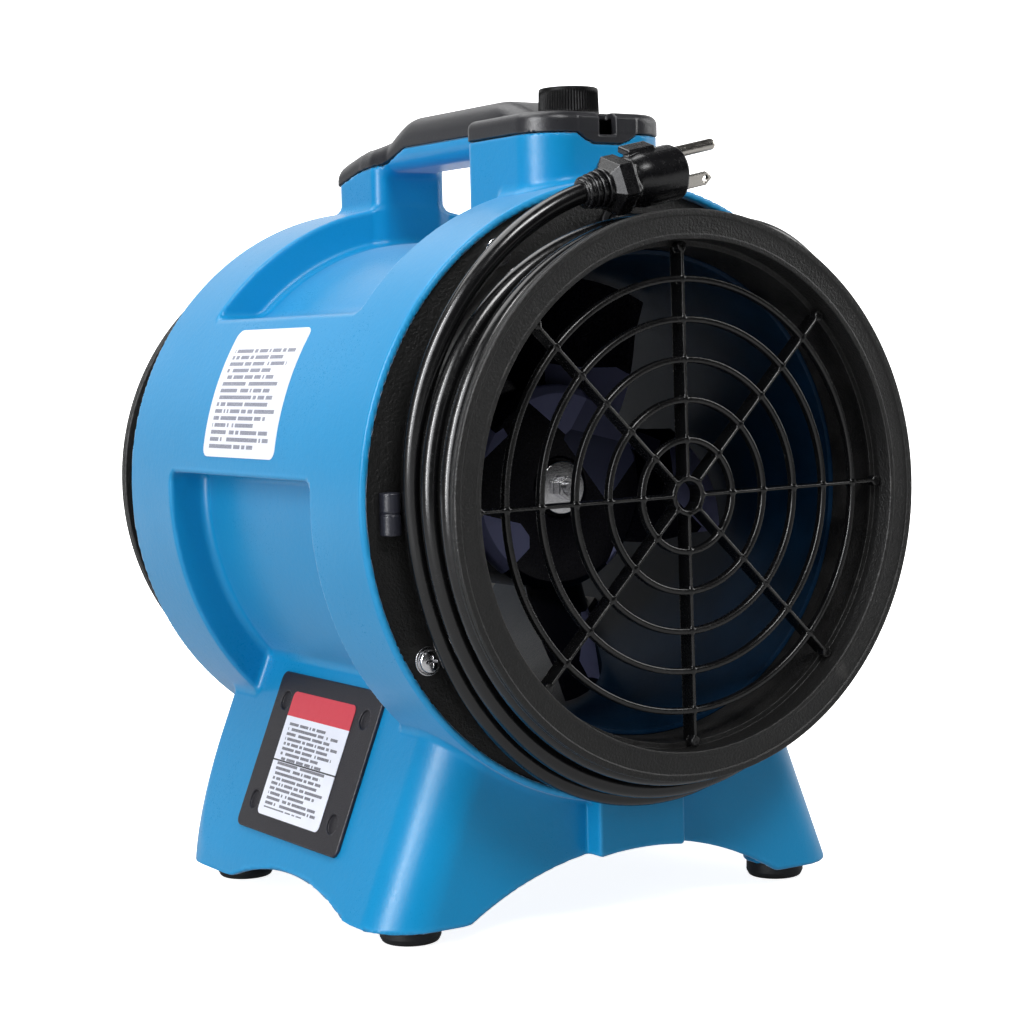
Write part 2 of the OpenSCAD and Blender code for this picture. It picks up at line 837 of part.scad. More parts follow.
module lead_grommet() {
    color("#101012") translate([0, motor_lead_y, axis_h - cavity_duct_r - 1.5]) difference() {
        union() {
            cylinder(r = 4.45, h = 5);
            cylinder(r = 6, h = 1.4);
        }
        translate([0, 0, -1]) cylinder(r = 2.45, h = 8);
    }
}

// Lead from the terminal block round the inside of the front band to the speed control
lead_path_r = 101;
lead_y = -71;
lead_a0 = 253;
lead_a1 = 99;
module control_lead() {
    steps = 40;
    arc = [for (i = [0:steps]) let (a = lead_a0 + (lead_a1 - lead_a0) * i / steps)
        [lead_path_r * cos(a), lead_y, axis_h + lead_path_r * sin(a)]];
    end = [[-13, lead_y + 2, axis_h + 104], [-11.5, lead_y + 5, axis_h + 110],
        [-11, lead_y + 7, cap_plate_low - 19.6]];
    color("#26272b") cord_skin(concat(arc, end), 2.4, 12);
}

// ---------------------------------------------------------------- speed control

cap_plate_top = tower_z + cap_h;
cap_plate_low = tower_z + 6;

module speed_control() {
    color("#3a5f8f") difference() {
        union() {
            translate([0, knob_y, cap_plate_low - 18]) cylinder(r = 14, h = 18 - eps);
            translate([0, knob_y, cap_plate_low - 1]) cylinder(r = 4.7, h = 6);
            for (dx = [-6, 0, 6]) translate([dx - 1.2, knob_y - 20, cap_plate_low - 16])
                cube([2.4, 8, 0.8]);
        }
        translate([0, knob_y, cap_plate_low - 15]) cylinder(r = 3.05, h = 40);
    }
}

module control_nut() {
    color("#b4b6ba") translate([0, knob_y, cap_plate_top + eps]) hex_nut(12, 2, 4.75);
}

module control_shaft() {
    color("#c9cbd0") translate([0, knob_y, cap_plate_low - 14.9])
        cylinder(r = 3, h = knob_top - 2.6 - cap_plate_low + 14.9);
}

// Fluted knob with a skirt over the nut and a pointer groove on its top
module speed_knob() {
    flutes = 18;
    knob_low = cap_plate_top + 0.4;
    color("#1a1a1d") difference() {
        translate([0, knob_y, knob_low]) rotate_extrude() polygon([[0, 0], [knob_r, 0],
            [knob_r - 0.5, knob_top - knob_low - 1.6], [knob_r - 2, knob_top - knob_low],
            [0, knob_top - knob_low]]);
        translate([0, knob_y, knob_low - 1]) cylinder(r = 7.6, h = 4.2);
        translate([0, knob_y, knob_low - 1]) cylinder(r = 3.01, h = knob_top - 2.5 - knob_low + 1);
        for (i = [0:flutes - 1]) translate([0, knob_y, knob_low + 1.2]) rotate([0, 0, i * 360 / flutes])
            translate([knob_r + 0.35, 0, 0]) cylinder(r = 1, h = 20);
        translate([-0.6, knob_y - knob_r - 1, knob_top - 0.8]) cube([1.2, knob_r - 2, 2]);
    }
}

// ---------------------------------------------------------------- cord and plug

wind_r = 97;             // radius of the cord's centre where it lies on the spigot
cord_a0 = 95;            // angle of the opening where the cord leaves the end panel
cord_hole_r = 99.2;      // distance of that opening from the duct axis
cord_front_y = -129.6;   // the turn nearest the flange
cord_back_y = -99.2;     // where the cord starts, at the end panel
cord_lane = 12;          // step from one turn to the next
lead_in = 0.27;          // part of a turn in which the cord crosses to the flange
lead_out = 0.22;         // part of a turn in which it rises to the plug
cord_end = [112.9, 107.9];   // radius and angle where it meets the plug
cord_end_y = -118;
cord_turns = 2 + (cord_a0 - cord_end[1] + 360) / 360;

module cord_place(y) {
    at_angle(cord_a0 - 3) translate([cord_hole_r, y, 0]) rotate([-90, 0, 0]) children();
}

// Centre line of the cord; t counts turns from the panel opening
function smooth(x) = let (c = min(max(x, 0), 1)) c * c * (3 - 2 * c);
function blend(a, b, u) = a + (b - a) * smooth(u);
function rise(t) = (t - cord_turns + lead_out) / lead_out;
function cord_angle(t) = cord_a0 - 360 * t;
function cord_y(t) = t < lead_in
    ? blend(cord_back_y, cord_front_y, t / lead_in)
    : blend(max(cord_front_y, cord_front_y + 1.9 + cord_lane * (t - 0.764)), cord_end_y, rise(t));
// Hang below the duct, the step over the crossing part, and slack on the left
function sag(t) = pow(max(0, -sin(cord_angle(t))), 2.4)
    * (2.5 + 6.3 * smooth(t - 0.3) + 5.6 * smooth(t - 1.3));
function step_over(t) = 7.8 * smooth((t - 0.6) / 0.3) * smooth((sin(cord_angle(t) + 65) - 0.5) / 0.35);
function slack(t) = 1.5 * smooth(t - 0.6) * pow(max(0, cos(cord_angle(t) - 145)), 6);
function cord_radius(t) =
    blend(blend(cord_hole_r, wind_r, t / 0.07) + sag(t) + step_over(t) + slack(t), cord_end[0], rise(t));
function cord_point(t) = let (a = cord_angle(t), r = cord_radius(t))
    [r * cos(a), cord_y(t), axis_h + r * sin(a)];

// Skin of a round cord along centre points that circle the duct axis
module cord_skin(points, r, sides) {
    n = len(points);
    function ahead(i) = points[min(i + 1, n - 1)] - points[max(i - 1, 0)];
    function across(i) = let (u = cross(ahead(i), [0, 1, 0])) u / norm(u);
    function third(i) = let (v = cross(ahead(i), across(i))) v / norm(v);
    ring = [for (i = [0:n - 1], k = [0:sides - 1])
        points[i] + r * (cos(k * 360 / sides) * across(i) + sin(k * 360 / sides) * third(i))];
    faces = concat([[for (k = [0:sides - 1]) k]],
        [[for (k = [sides - 1:-1:0]) (n - 1) * sides + k]],
        [for (i = [0:n - 2], k = [0:sides - 1]) let (j = (k + 1) % sides)
            [i * sides + k, (i + 1) * sides + k, i * sides + j]],
        [for (i = [0:n - 2], k = [0:sides - 1]) let (j = (k + 1) % sides)
            [i * sides + j, (i + 1) * sides + k, (i + 1) * sides + j]]);
    polyhedron(ring, faces, convexity = 6);
}

module power_cord() {
    steps = 150;
    color("#141416") {
        cord_skin([for (i = [0:steps]) cord_point(cord_turns * i / steps)], cord_r, 12);
        cord_place(cord_back_y) cylinder(r = cord_r - 0.1, h = 24);
    }
}

// Bush that lines the opening in the end panel and the housing behind it
module cord_grommet() {
    color("#101012") cord_place(-panel_y - 0.8) difference() {
        union() {
            cylinder(r = cord_hole - 0.05, h = 8.5);
            cylinder(r = 6, h = 0.78);
        }
        translate([0, 0, -1]) cylinder(r = cord_r, h = 12);
    }
}

// Upright post on the front panel that the cord is tied to
anchor_at = [-103.2, -panel_y - 3.5];
module cord_anchor() {
    color("#33343b") translate([anchor_at[0], anchor_at[1], axis_h - 9.8]) {
        cylinder(r = 3.5, h = 7.2);
        cylinder(r = 3.2, h = 15);
        translate([0, 0, 7.6]) cylinder(r = 3.5, h = 7.3);
        translate([-2.8, 0, 0]) cube([5.6, 3.5 - eps, 15]);
    }
}

// The plug lies on the wound cord; +X of its frame points at the blades
plug_at = [cord_end[0] * cos(cord_end[1]), cord_end_y, axis_h + cord_end[0] * sin(cord_end[1])];
plug_yaw = 1;
plug_pitch = 14.5;
plug_l = 43;
module plug_frame() {
    translate(plug_at) rotate([0, 0, plug_yaw]) rotate([0, -plug_pitch, 0]) children();
}

// Ribbed neck, six-sided finger grip and oval body round the pins
module plug_body() {
    neck_l = 12;
    grip_l = 11;
    body_w = 18.8;
    body_h = 19.6;
    color("#121214") plug_frame() difference() {
        union() {
            rotate([0, 90, 0]) cylinder(r1 = 5, r2 = 6, h = neck_l + 1);
            for (i = [0:3]) translate([1.3 + i * 2.8, 0, 0]) rotate([0, 90, 0])
                cylinder(r = 5.9 + i * 0.5, h = 1.7);
            for (part = [[neck_l, 7.4, 10.9, 3], [neck_l + 3, 10.9, 10.9, grip_l - 5],
                    [neck_l + grip_l - 2, 10.9, 9.4, 2.5]])
                translate([part[0], 0, 0]) rotate([0, 90, 0]) rotate([0, 0, 90])
                    cylinder(r1 = part[1], r2 = part[2], h = part[3], $fn = 6);
            translate([neck_l + grip_l, 0, 0]) rotate([0, 90, 0])
                linear_extrude(plug_l - neck_l - grip_l) rounded_rect(body_h, body_w, 7.5);
            translate([neck_l + grip_l + 1, 1, body_h / 2 - 0.8]) cube([12, 7, 2]);
        }
        translate([-1, 0, 0]) rotate([0, 90, 0]) cylinder(r = cord_r + 0.45, h = 2.6);
        blade_shapes(0.01);
        translate([plug_l - 12, 0, 7]) rotate([0, 90, 0]) cylinder(r = 2.41, h = 20);
    }
}

module blade_shapes(g) {
    for (s = [-1, 1]) translate([plug_l - 10 - g, s * 6.35 - 0.75 - g, -4 - 3.15 - g])
        cube([27 + g, 1.5 + 2 * g, 6.3 + 2 * g]);
}

module plug_blades() {
    color("#c8c6c0") plug_frame() difference() {
        blade_shapes(0);
        translate([plug_l + 12.5, -20, -4]) rotate([-90, 0, 0]) cylinder(r = 1.6, h = 40);
    }
}

module plug_ground_pin() {
    color("#c8c6c0") plug_frame() translate([plug_l - 11.9, 0, 7]) {
        rotate([0, 90, 0]) cylinder(r = 2.4, h = 30);
        translate([30, 0, 0]) sphere(2.4);
    }
}

housing();
top_cover();
cover_screws();
front_collar();
rear_collar();
collar_screws();
collar_washers();
front_grille();
rear_grille();
rubber_feet();
foot_screws();
access_panel();
access_panel_screws();
access_label();
rating_label();
impeller();
impeller_washer();
impeller_nut();
motor_shaft();
rotor_core();
front_bearing();
rear_bearing();
stator_core();
stator_winding();
front_end_bell();
rear_end_bell();
motor_through_bolts();
motor_bracket();
bracket_screws();
run_capacitor();
capacitor_strap();
strap_screws();
terminal_block();
terminal_screws();
motor_lead();
lead_grommet();
control_lead();
speed_control();
control_nut();
control_shaft();
speed_knob();
power_cord();
cord_grommet();
cord_anchor();
plug_body();
plug_blades();
plug_ground_pin();
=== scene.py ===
"""Looks of the axial air mover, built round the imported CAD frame."""
import json
import math
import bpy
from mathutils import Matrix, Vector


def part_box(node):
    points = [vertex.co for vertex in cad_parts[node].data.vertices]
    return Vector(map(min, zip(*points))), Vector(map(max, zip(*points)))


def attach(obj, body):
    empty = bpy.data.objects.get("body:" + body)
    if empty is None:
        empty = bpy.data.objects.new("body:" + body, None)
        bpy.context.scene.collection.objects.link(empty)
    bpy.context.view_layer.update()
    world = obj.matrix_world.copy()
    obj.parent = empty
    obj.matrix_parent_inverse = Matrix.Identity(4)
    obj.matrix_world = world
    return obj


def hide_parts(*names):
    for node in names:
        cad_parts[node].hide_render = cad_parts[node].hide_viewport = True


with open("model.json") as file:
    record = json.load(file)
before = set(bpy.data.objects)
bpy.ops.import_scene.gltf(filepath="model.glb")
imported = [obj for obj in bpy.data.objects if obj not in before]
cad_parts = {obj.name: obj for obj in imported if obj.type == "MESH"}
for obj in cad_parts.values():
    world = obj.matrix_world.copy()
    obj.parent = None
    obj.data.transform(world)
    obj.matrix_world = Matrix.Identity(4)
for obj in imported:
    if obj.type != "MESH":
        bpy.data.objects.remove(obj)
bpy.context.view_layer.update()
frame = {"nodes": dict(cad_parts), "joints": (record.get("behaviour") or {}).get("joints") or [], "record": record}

from concurrent.futures import ThreadPoolExecutor

import bpy
import numpy as np
from mathutils import Matrix, Vector

MM = 0.001
SLOTS = {part["node"]: part["material_slot"] for part in frame["record"]["subparts"]}
JOINTS = {j["name"]: j for j in frame["joints"]}
AXIS = JOINTS["rotor_spin"]["pos_m"][2] / MM          # height of the duct axis
KNOB_Y = JOINTS["knob_turn"]["pos_m"][1] / MM


def mm_box(node):
    """Lowest and highest corners of a CAD node, in millimetres."""
    low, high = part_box(node)
    return np.array(low) / MM, np.array(high) / MM


# ---- driving sizes, mm

drum_low, drum_high = mm_box("housing")
DRUM_R = drum_high[0]
HALF_DRUM = 97.3
WALL = 3.0
RECESS_R = 99.0
RECESS_Y = (-59.2, 58.3)
LEDGES = (8.0, 68.0)               # heights above the axis of the rating label's plateau
DUCT_R = 87.0
SPIGOT_R = 88.8
SPIGOT_END = 107.2
SLEEVE_R = 88.8                    # outside of the duct tube
PANEL_Y = 94.5                     # outer face of the end panels
PANEL_BACK = 91.5
PANEL_R = 112.0
BASE_Z = 6.4
BASE_Y = (-92.0, 81.0)
BASE_FLOOR = 27.0
BASE_TOP = 109.0                   # inside the drum
FLARE = 0.4
FLARE_REF = (85.0, 59.4)           # half-width of the base at this height
BASE_CORNER = 21.0
BASE_HALF_W = 106.2                # of the upright rounded outline the walls are cut from
PAD_AT = (0, -93.0, 28.5)          # raised pad on the front of the base
PAD_HALF = (19.5, 7.5, 22.1)
ARCH_R = 132.6
FRONT_ARCH_TOP = 27.0
SIDE_ARCH = (-11.9, 15.4)          # place and height of the side arch's top
IN_DRUM = 238.0                    # height to which the tower and post run down into the drum
TOWER_Y = (-85.7, -34.7)
TOWER_W = 30.2
TOWER_CORNERS = (16, 4)            # plan radii, front and rear
TOWER_HOLLOW = (13, 1)
TOWER_Z = 291.9
POST_Y = (56.3, 91.0)
POST_W = 17.2
GRIP_W = 14.8
GRIP_Z = (288.4, 297.1)
GRIP_MID, GRIP_HALF = 11, 50       # blue underside of the grip, along y
CAP_TOP = 299.8
COVER_STEP = -33.5                 # where the cover steps up from the tower to the grip
FLANGE_R = 101.6
HALF_L = -mm_box("front_collar")[0][1]
COLLAR_R = 93.0
SEAT_R = 90.9
PANEL_S, PANEL_MID_Y = -3.8, -2.0  # middle of the access panel, up the slope and along y
PANEL_T = 1.5
HATCH_HALF = (15, 26)              # opening behind the access panel
FOOT_X = 85.0
FOOT_Y = (-72.7, 61.2)


# ---- distance fields

def corner(a, b):
    """Distance to the right-angled edge where two fields meet."""
    return np.minimum(np.maximum(a, b), 0) + np.hypot(np.maximum(a, 0), np.maximum(b, 0))


def both(a, b, r=0.0):
    """Intersection of two distance fields, its convex edge rounded to radius r."""
    return corner(a + r, b + r) - r if r > 0 else np.maximum(a, b)


def either(a, b, r=0.0):
    """Union of two distance fields, its concave edge filled to radius r."""
    return -both(-a, -b, r)


def less(a, b, r=0.0):
    """Distance field a with b taken away, the new edge rounded to radius r."""
    return both(a, -b, r)


def span(x, y, half_w, y0, y1, r_front, r_rear):
    """Rounded rectangle in plan with its own front and rear corner radii."""
    mid, half = 0.5 * (y0 + y1), 0.5 * (y1 - y0)
    r = np.where(y < mid, r_front, r_rear)
    return corner(np.abs(x) - half_w + r, np.abs(y - mid) - half + r) - r


def block(x, y, z, cx, cy, cz, hx, hy, hz, r):
    """Box with rounded edges, given by its centre and half sizes."""
    qx, qy, qz = np.abs(x - cx) - hx + r, np.abs(y - cy) - hy + r, np.abs(z - cz) - hz + r
    inner = np.minimum(np.maximum(qx, np.maximum(qy, qz)), 0)
    outer = np.sqrt(np.maximum(qx, 0) ** 2 + np.maximum(qy, 0) ** 2 + np.maximum(qz, 0) ** 2)
    return inner + outer - r


def ease(x):
    """0 to 1 with a soft start and end as x goes from 0 to 1."""
    c = np.clip(x, 0, 1)
    return c * c * (3 - 2 * c)


WORKERS = ThreadPoolExecutor(4)
CHUNK = 24000


def sample(field, p):
    """Field at many points, in chunks that fit the cache, on four threads."""
    p = np.asarray(p, np.float32)
    parts = np.array_split(p, max(1, len(p) // CHUNK))
    return np.concatenate(list(WORKERS.map(field, parts)))


def gradient(field, p, step):
    """Slope of the field from four points round each one."""
    total = np.zeros_like(p)
    for k in ((1, -1, -1), (-1, -1, 1), (-1, 1, -1), (1, 1, 1)):
        k = np.array(k, float)
        total += k * sample(field, p + step * k)[:, None]
    return total / (4 * step)


def to_surface(field, p, cell, rounds):
    """Points moved along the slope until the field is zero there."""
    for _ in range(rounds):
        g = gradient(field, p, 0.05 * cell)
        size = np.maximum(np.linalg.norm(g, axis=1), 0.2)
        move = np.clip(sample(field, p) / size, -cell, cell)
        p = p - g / size[:, None] * move[:, None]
    return p


CORNERS = np.array([(i, j, k) for i in (0, 1) for j in (0, 1) for k in (0, 1)])
EDGES = [(a, b) for a in range(8) for b in range(a + 1, 8)
         if np.abs(CORNERS[a] - CORNERS[b]).sum() == 1]


def sample_grid(field, low, count, cell):
    """Field values on a grid; blocks far from the surface take their centre's value."""
    size = 12
    grid = np.empty(count, np.float32)
    starts = [np.arange(0, m, size) for m in count]
    blocks = np.stack(np.meshgrid(*starts, indexing="ij"), -1).reshape(-1, 3)
    middle = sample(field, low + (blocks + (size - 1) / 2) * cell)
    reach = 1.3 * cell * size * math.sqrt(3) / 2
    far = np.abs(middle) > reach
    for (i, j, k), value in zip(blocks[far], middle[far]):
        grid[i:i + size, j:j + size, k:k + size] = value
    steps = np.stack(np.meshgrid(*[np.arange(size)] * 3, indexing="ij"), -1).reshape(-1, 3)
    near = blocks[~far]
    for chunk in np.array_split(near, max(1, len(near) * size ** 3 // 400000)):
        at = (chunk[:, None, :] + steps[None]).reshape(-1, 3)
        at = at[(at < count).all(1)]
        grid[at[:, 0], at[:, 1], at[:, 2]] = sample(field, low + at * cell)
    return grid


def skin(field, low, high, cell, relax=2):
    """Smooth quad mesh of field = 0 inside the box, as points, quads and normals (mm)."""
    low = np.array(low, float) - 2 * cell
    count = np.ceil((np.array(high, float) - low) / cell).astype(int) + 3
    grid = sample_grid(field, low, count, cell)
    inside = grid < 0
    n = count - 1
    tally = sum(inside[i:n[0] + i, j:n[1] + j, k:n[2] + k].astype(np.int8) for i, j, k in CORNERS)
    cut = (tally > 0) & (tally < 8)
    cells = np.argwhere(cut)
    number = np.full(cut.shape, -1, np.int64)
    number[cut] = np.arange(len(cells))
    values = np.stack([grid[tuple((cells + c).T)] for c in CORNERS], 1)
    total, hits = np.zeros((len(cells), 3)), np.zeros(len(cells))
    for a, b in EDGES:
        cross = (values[:, a] < 0) != (values[:, b] < 0)
        t = values[cross, a] / (values[cross, a] - values[cross, b])
        total[cross] += CORNERS[a] + t[:, None] * (CORNERS[b] - CORNERS[a])
        hits[cross] += 1
    p = low + cell * (cells + total / hits[:, None])
    quads = []
    for axis in range(3):
        u, v = np.eye(3, dtype=int)[(axis + 1) % 3], np.eye(3, dtype=int)[(axis + 2) % 3]
        first = np.take(inside, np.arange(count[axis] - 1), axis)
        second = np.take(inside, np.arange(1, count[axis]), axis)
        at = np.argwhere(first != second)
        others = [(axis + 1) % 3, (axis + 2) % 3]
        at = at[(at[:, others] > 0).all(1) & (at[:, others] < n[others]).all(1)]
        ring = np.stack([number[tuple((at - s).T)] for s in (u + v, v, 0 * u, u)], 1)
        out = first[tuple(at.T)]
        quads.append(np.where(out[:, None], ring, ring[:, ::-1]))
    quads = np.concatenate(quads)
    p = to_surface(field, p, cell, 2)
    for _ in range(relax):
        around, tied = np.zeros_like(p), np.zeros(len(p))
        for i in range(4):
            a, b = quads[:, i], quads[:, (i + 1) % 4]
            for s, t in ((a, b), (b, a)):
                tied += np.bincount(s, minlength=len(p))
                for c in range(3):
                    around[:, c] += np.bincount(s, weights=p[t, c], minlength=len(p))
        p = to_surface(field, 0.45 * p + 0.55 * around / np.maximum(tied, 1)[:, None], cell, 2)
    g = gradient(field, p, 0.25 * cell)
    return p, quads, g / np.maximum(np.linalg.norm(g, axis=1), 1e-9)[:, None]


# ---- meshes

def add_piece(name, mesh, material, node, body):
    """Puts a mesh in the scene in place of a CAD node, on one of the bodies."""
    ob = bpy.data.objects.new(name, mesh)
    bpy.context.scene.collection.objects.link(ob)
    mesh.materials.append(MATS[material])
    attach(ob, body)
    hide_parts(node)


def quad_piece(name, mesh, material, node, body="frame"):
    """Piece from points, quads and normals in mm."""
    p, quads, normals = mesh
    me = bpy.data.meshes.new(name)
    me.vertices.add(len(p))
    me.vertices.foreach_set("co", (p * MM).astype(np.float32).ravel())
    me.loops.add(quads.size)
    me.loops.foreach_set("vertex_index", quads.ravel().astype(np.int32))
    me.polygons.add(len(quads))
    me.polygons.foreach_set("loop_start", np.arange(0, quads.size, 4, dtype=np.int32))
    me.polygons.foreach_set("use_smooth", np.ones(len(quads), bool))
    me.update(calc_edges=True)
    me.validate()
    me.normals_split_custom_set_from_vertices(normals.tolist())
    add_piece(name, me, material, node, body)


def face_piece(name, p, faces, material, node, body="frame", sharp=40, uv=None):
    """Piece from points in mm and faces of any size, smooth below the sharp angle."""
    me = bpy.data.meshes.new(name)
    me.from_pydata((np.asarray(p) * MM).tolist(), [], [list(map(int, f)) for f in faces])
    me.validate()
    me.shade_smooth()
    me.set_sharp_from_angle(angle=math.radians(sharp))
    if uv is not None:
        layer = me.uv_layers.new(name="plan")
        index = np.empty(len(me.loops), np.int32)
        me.loops.foreach_get("vertex_index", index)
        layer.data.foreach_set("uv", np.asarray(uv, np.float32)[index].ravel())
    add_piece(name, me, material, node, body)


def copies(mesh, placements):
    """One mesh out of several placed copies; each placement is a 4x4 matrix in mm."""
    p, quads, normals = mesh
    ps, qs, ns = [], [], []
    for i, m in enumerate(placements):
        m = np.array(m, float)
        turn = m[:3, :3]
        ps.append(p @ turn.T + m[:3, 3])
        ns.append(normals @ turn.T)
        qs.append((quads if np.linalg.det(turn) > 0 else quads[:, ::-1]) + i * len(p))
    return np.concatenate(ps), np.concatenate(qs), np.concatenate(ns)


def rounded_outline(points, steps=6):
    """Polyline of (r, h, fillet radius) points with each corner turned into an arc."""
    out = []
    count = len(points)
    for i, (a, b, radius) in enumerate(points):
        if radius <= 0 or i in (0, count - 1):
            out.append((a, b))
            continue
        here = np.array((a, b))
        before = np.array(points[i - 1][:2]) - here
        after = np.array(points[i + 1][:2]) - here
        la, lb = np.linalg.norm(before), np.linalg.norm(after)
        before, after = before / la, after / lb
        angle = math.acos(np.clip(before @ after, -1, 1))
        if angle > math.pi - 0.02:
            out.append((a, b))
            continue
        reach = min(radius / math.tan(angle / 2), 0.49 * la, 0.49 * lb)
        radius = reach * math.tan(angle / 2)
        bisector = (before + after) / np.linalg.norm(before + after)
        centre = here + bisector * radius / math.sin(angle / 2)
        start, end = here + before * reach - centre, here + after * reach - centre
        a0 = math.atan2(start[1], start[0])
        sweep = (math.atan2(end[1], end[0]) - a0 + math.pi) % (2 * math.pi) - math.pi
        for k in range(steps + 1):
            t = a0 + sweep * k / steps
            out.append(tuple(centre + radius * np.array((math.cos(t), math.sin(t)))))
    return out


def lathe(outline, segments, ripple=None):
    """Points and faces of a closed outline of (r, h) turned about local +Z."""
    outline = np.array(outline, float)
    angles = 2 * math.pi * np.arange(segments) / segments
    rings = []
    for r, h in outline:
        radius = np.full(segments, r) if ripple is None else ripple(r, h, angles)
        rings.append(np.stack([radius * np.cos(angles), radius * np.sin(angles),
                               np.full(segments, h)], 1))
    p = np.concatenate(rings)
    count = len(outline)
    faces = []
    for i in range(count):
        j = (i + 1) % count
        for k in range(segments):
            m = (k + 1) % segments
            faces.append((i * segments + k, i * segments + m, j * segments + m, j * segments + k))
    return p, faces


def turn_faces_out(p, faces):
    """Flips the faces if the closed mesh they make is inside out."""
    volume = 0.0
    for f in faces:
        for i in range(1, len(f) - 1):
            volume += np.dot(p[f[0]], np.cross(p[f[i]], p[f[i + 1]]))
    return faces if volume > 0 else [f[::-1] for f in faces]


def join(meshes):
    """Points and faces of several meshes as one."""
    points, faces, start = [], [], 0
    for p, own in meshes:
        points.append(p)
        faces += [tuple(v + start for v in f) for f in own]
        start += len(p)
    return np.concatenate(points), faces


def tube_faces(rings, sides):
    """Faces of a closed tube whose points come ring by ring."""
    faces = []
    for i in range(rings - 1):
        for k in range(sides):
            m = (k + 1) % sides
            faces.append((i * sides + k, i * sides + m, (i + 1) * sides + m, (i + 1) * sides + k))
    return faces + [tuple(range(sides))[::-1], tuple((rings - 1) * sides + k for k in range(sides))]


def along_y(y):
    """Matrix that puts local +Z along +Y, on the duct axis at y."""
    return np.array([(1, 0, 0, 0), (0, 0, 1, y), (0, -1, 0, AXIS), (0, 0, 0, 1)], float)


def shift(x, y, z):
    m = np.eye(4)
    m[:3, 3] = (x, y, z)
    return m


def moved(p, m):
    return np.asarray(p) @ m[:3, :3].T + m[:3, 3]


def at_angle(angle, r, y):
    """Point at this angle above the +X side of the duct axis."""
    a = math.radians(angle)
    return np.array((r * math.cos(a), y, AXIS + r * math.sin(a)))


def turned_piece(name, outline, place, material, node, segments, ripple=None, **more):
    p, faces = lathe(outline, segments, ripple)
    p = moved(p, place)
    face_piece(name, p, turn_faces_out(p, faces), material, node, **more)


def turned_copies(outline, segments, placements):
    p, faces = lathe(outline, segments)
    faces = turn_faces_out(p, faces)
    return join((moved(p, m), faces) for m in placements)


# ---- materials

class Nodes:
    """Small helper for building a node material."""

    def __init__(self, name):
        self.mat = bpy.data.materials.new(name)
        self.mat.use_nodes = True
        self.tree = self.mat.node_tree
        self.shader = self.tree.nodes["Principled BSDF"]
        coord = self.tree.nodes.new("ShaderNodeTexCoord")
        self.place = coord.outputs["Object"]
        self.uv = coord.outputs["UV"]

    def add(self, kind, inputs=None, **props):
        node = self.tree.nodes.new("ShaderNode" + kind)
        for key, value in props.items():
            setattr(node, key, value)
        for key, value in (inputs or {}).items():
            self.put(node.inputs[key], value)
        return node

    def put(self, socket, value):
        if isinstance(value, bpy.types.NodeSocket):
            self.tree.links.new(value, socket)
        elif isinstance(value, (tuple, list)) and len(value) == 3 and socket.type == "RGBA":
            socket.default_value = (*value, 1)
        else:
            socket.default_value = value

    def noise(self, scale, detail=3, rough=0.5, stretch=None, where=None):
        where = where or self.place
        if stretch:
            where = self.add("Mapping", {"Vector": where, "Scale": stretch}).outputs[0]
        node = self.add("TexNoise", {"Vector": where, "Scale": scale, "Detail": detail,
                                     "Roughness": rough})
        return node.outputs["Fac"]

    def ramp(self, value, low, high, to_low=0.0, to_high=1.0):
        node = self.add("MapRange", {"Value": value, "From Min": low, "From Max": high,
                                     "To Min": to_low, "To Max": to_high})
        return node.outputs[0]

    def math(self, kind, a, b=0.0):
        node = self.add("Math", operation=kind)
        self.put(node.inputs[0], a)
        self.put(node.inputs[1], b)
        return node.outputs[0]

    def mix(self, fac, a, b):
        node = self.add("Mix", data_type="RGBA")
        self.put(node.inputs["Factor"], fac)
        self.put(node.inputs[6], a)
        self.put(node.inputs[7], b)
        return node.outputs[2]

    def bump(self, height, strength, distance, normal=None):
        node = self.add("Bump", {"Height": height, "Strength": strength, "Distance": distance})
        if normal is not None:
            self.put(node.inputs["Normal"], normal)
        return node.outputs[0]

    def set(self, **values):
        for key, value in values.items():
            self.put(self.shader.inputs[key.replace("_", " ")], value)
        return self.mat


def scaled(color, k):
    return tuple(min(1.0, c * k) for c in color)


def moulded(name, color, rough, grain, grain_depth, blotch=0.08, edge=0.25, coat=0.0,
            edge_color=None, bevel=0.0, shine=0.5):
    """Moulded plastic: slight colour drift, fine grain in bump and roughness, and rubbed edges."""
    n = Nodes(name)
    drift = n.noise(11, 4)
    fine = n.noise(grain, 3, 0.62)
    body = n.mix(n.ramp(drift, 0.3, 0.7), scaled(color, 1 - blotch), scaled(color, 1 + blotch))
    speck = n.ramp(n.noise(grain * 0.5, 2), 0.62, 0.75, 0.0, 0.12)
    body = n.mix(speck, body, scaled(color, 0.72))
    point = n.add("NewGeometry").outputs["Pointiness"]
    worn = n.math("MULTIPLY", n.ramp(point, 0.52, 0.6), n.ramp(n.noise(60, 5), 0.35, 0.65))
    worn = n.math("MULTIPLY", worn, edge)
    body = n.mix(worn, body, edge_color or scaled(color, 1.9))
    gloss = n.ramp(fine, 0.3, 0.7, rough - 0.05, rough + 0.06)
    smear = n.ramp(n.noise(26, 5, 0.6), 0.35, 0.75, -0.03, 0.06)
    gloss = n.math("ADD", gloss, smear)
    normal = n.add("Bevel", {"Radius": bevel}, samples=4).outputs[0] if bevel else None
    normal = n.bump(fine, grain_depth, 0.0004, normal)
    return n.set(Base_Color=body, Roughness=gloss, Normal=normal, Coat_Weight=coat,
                 Coat_Roughness=0.25, Specular_IOR_Level=shine)


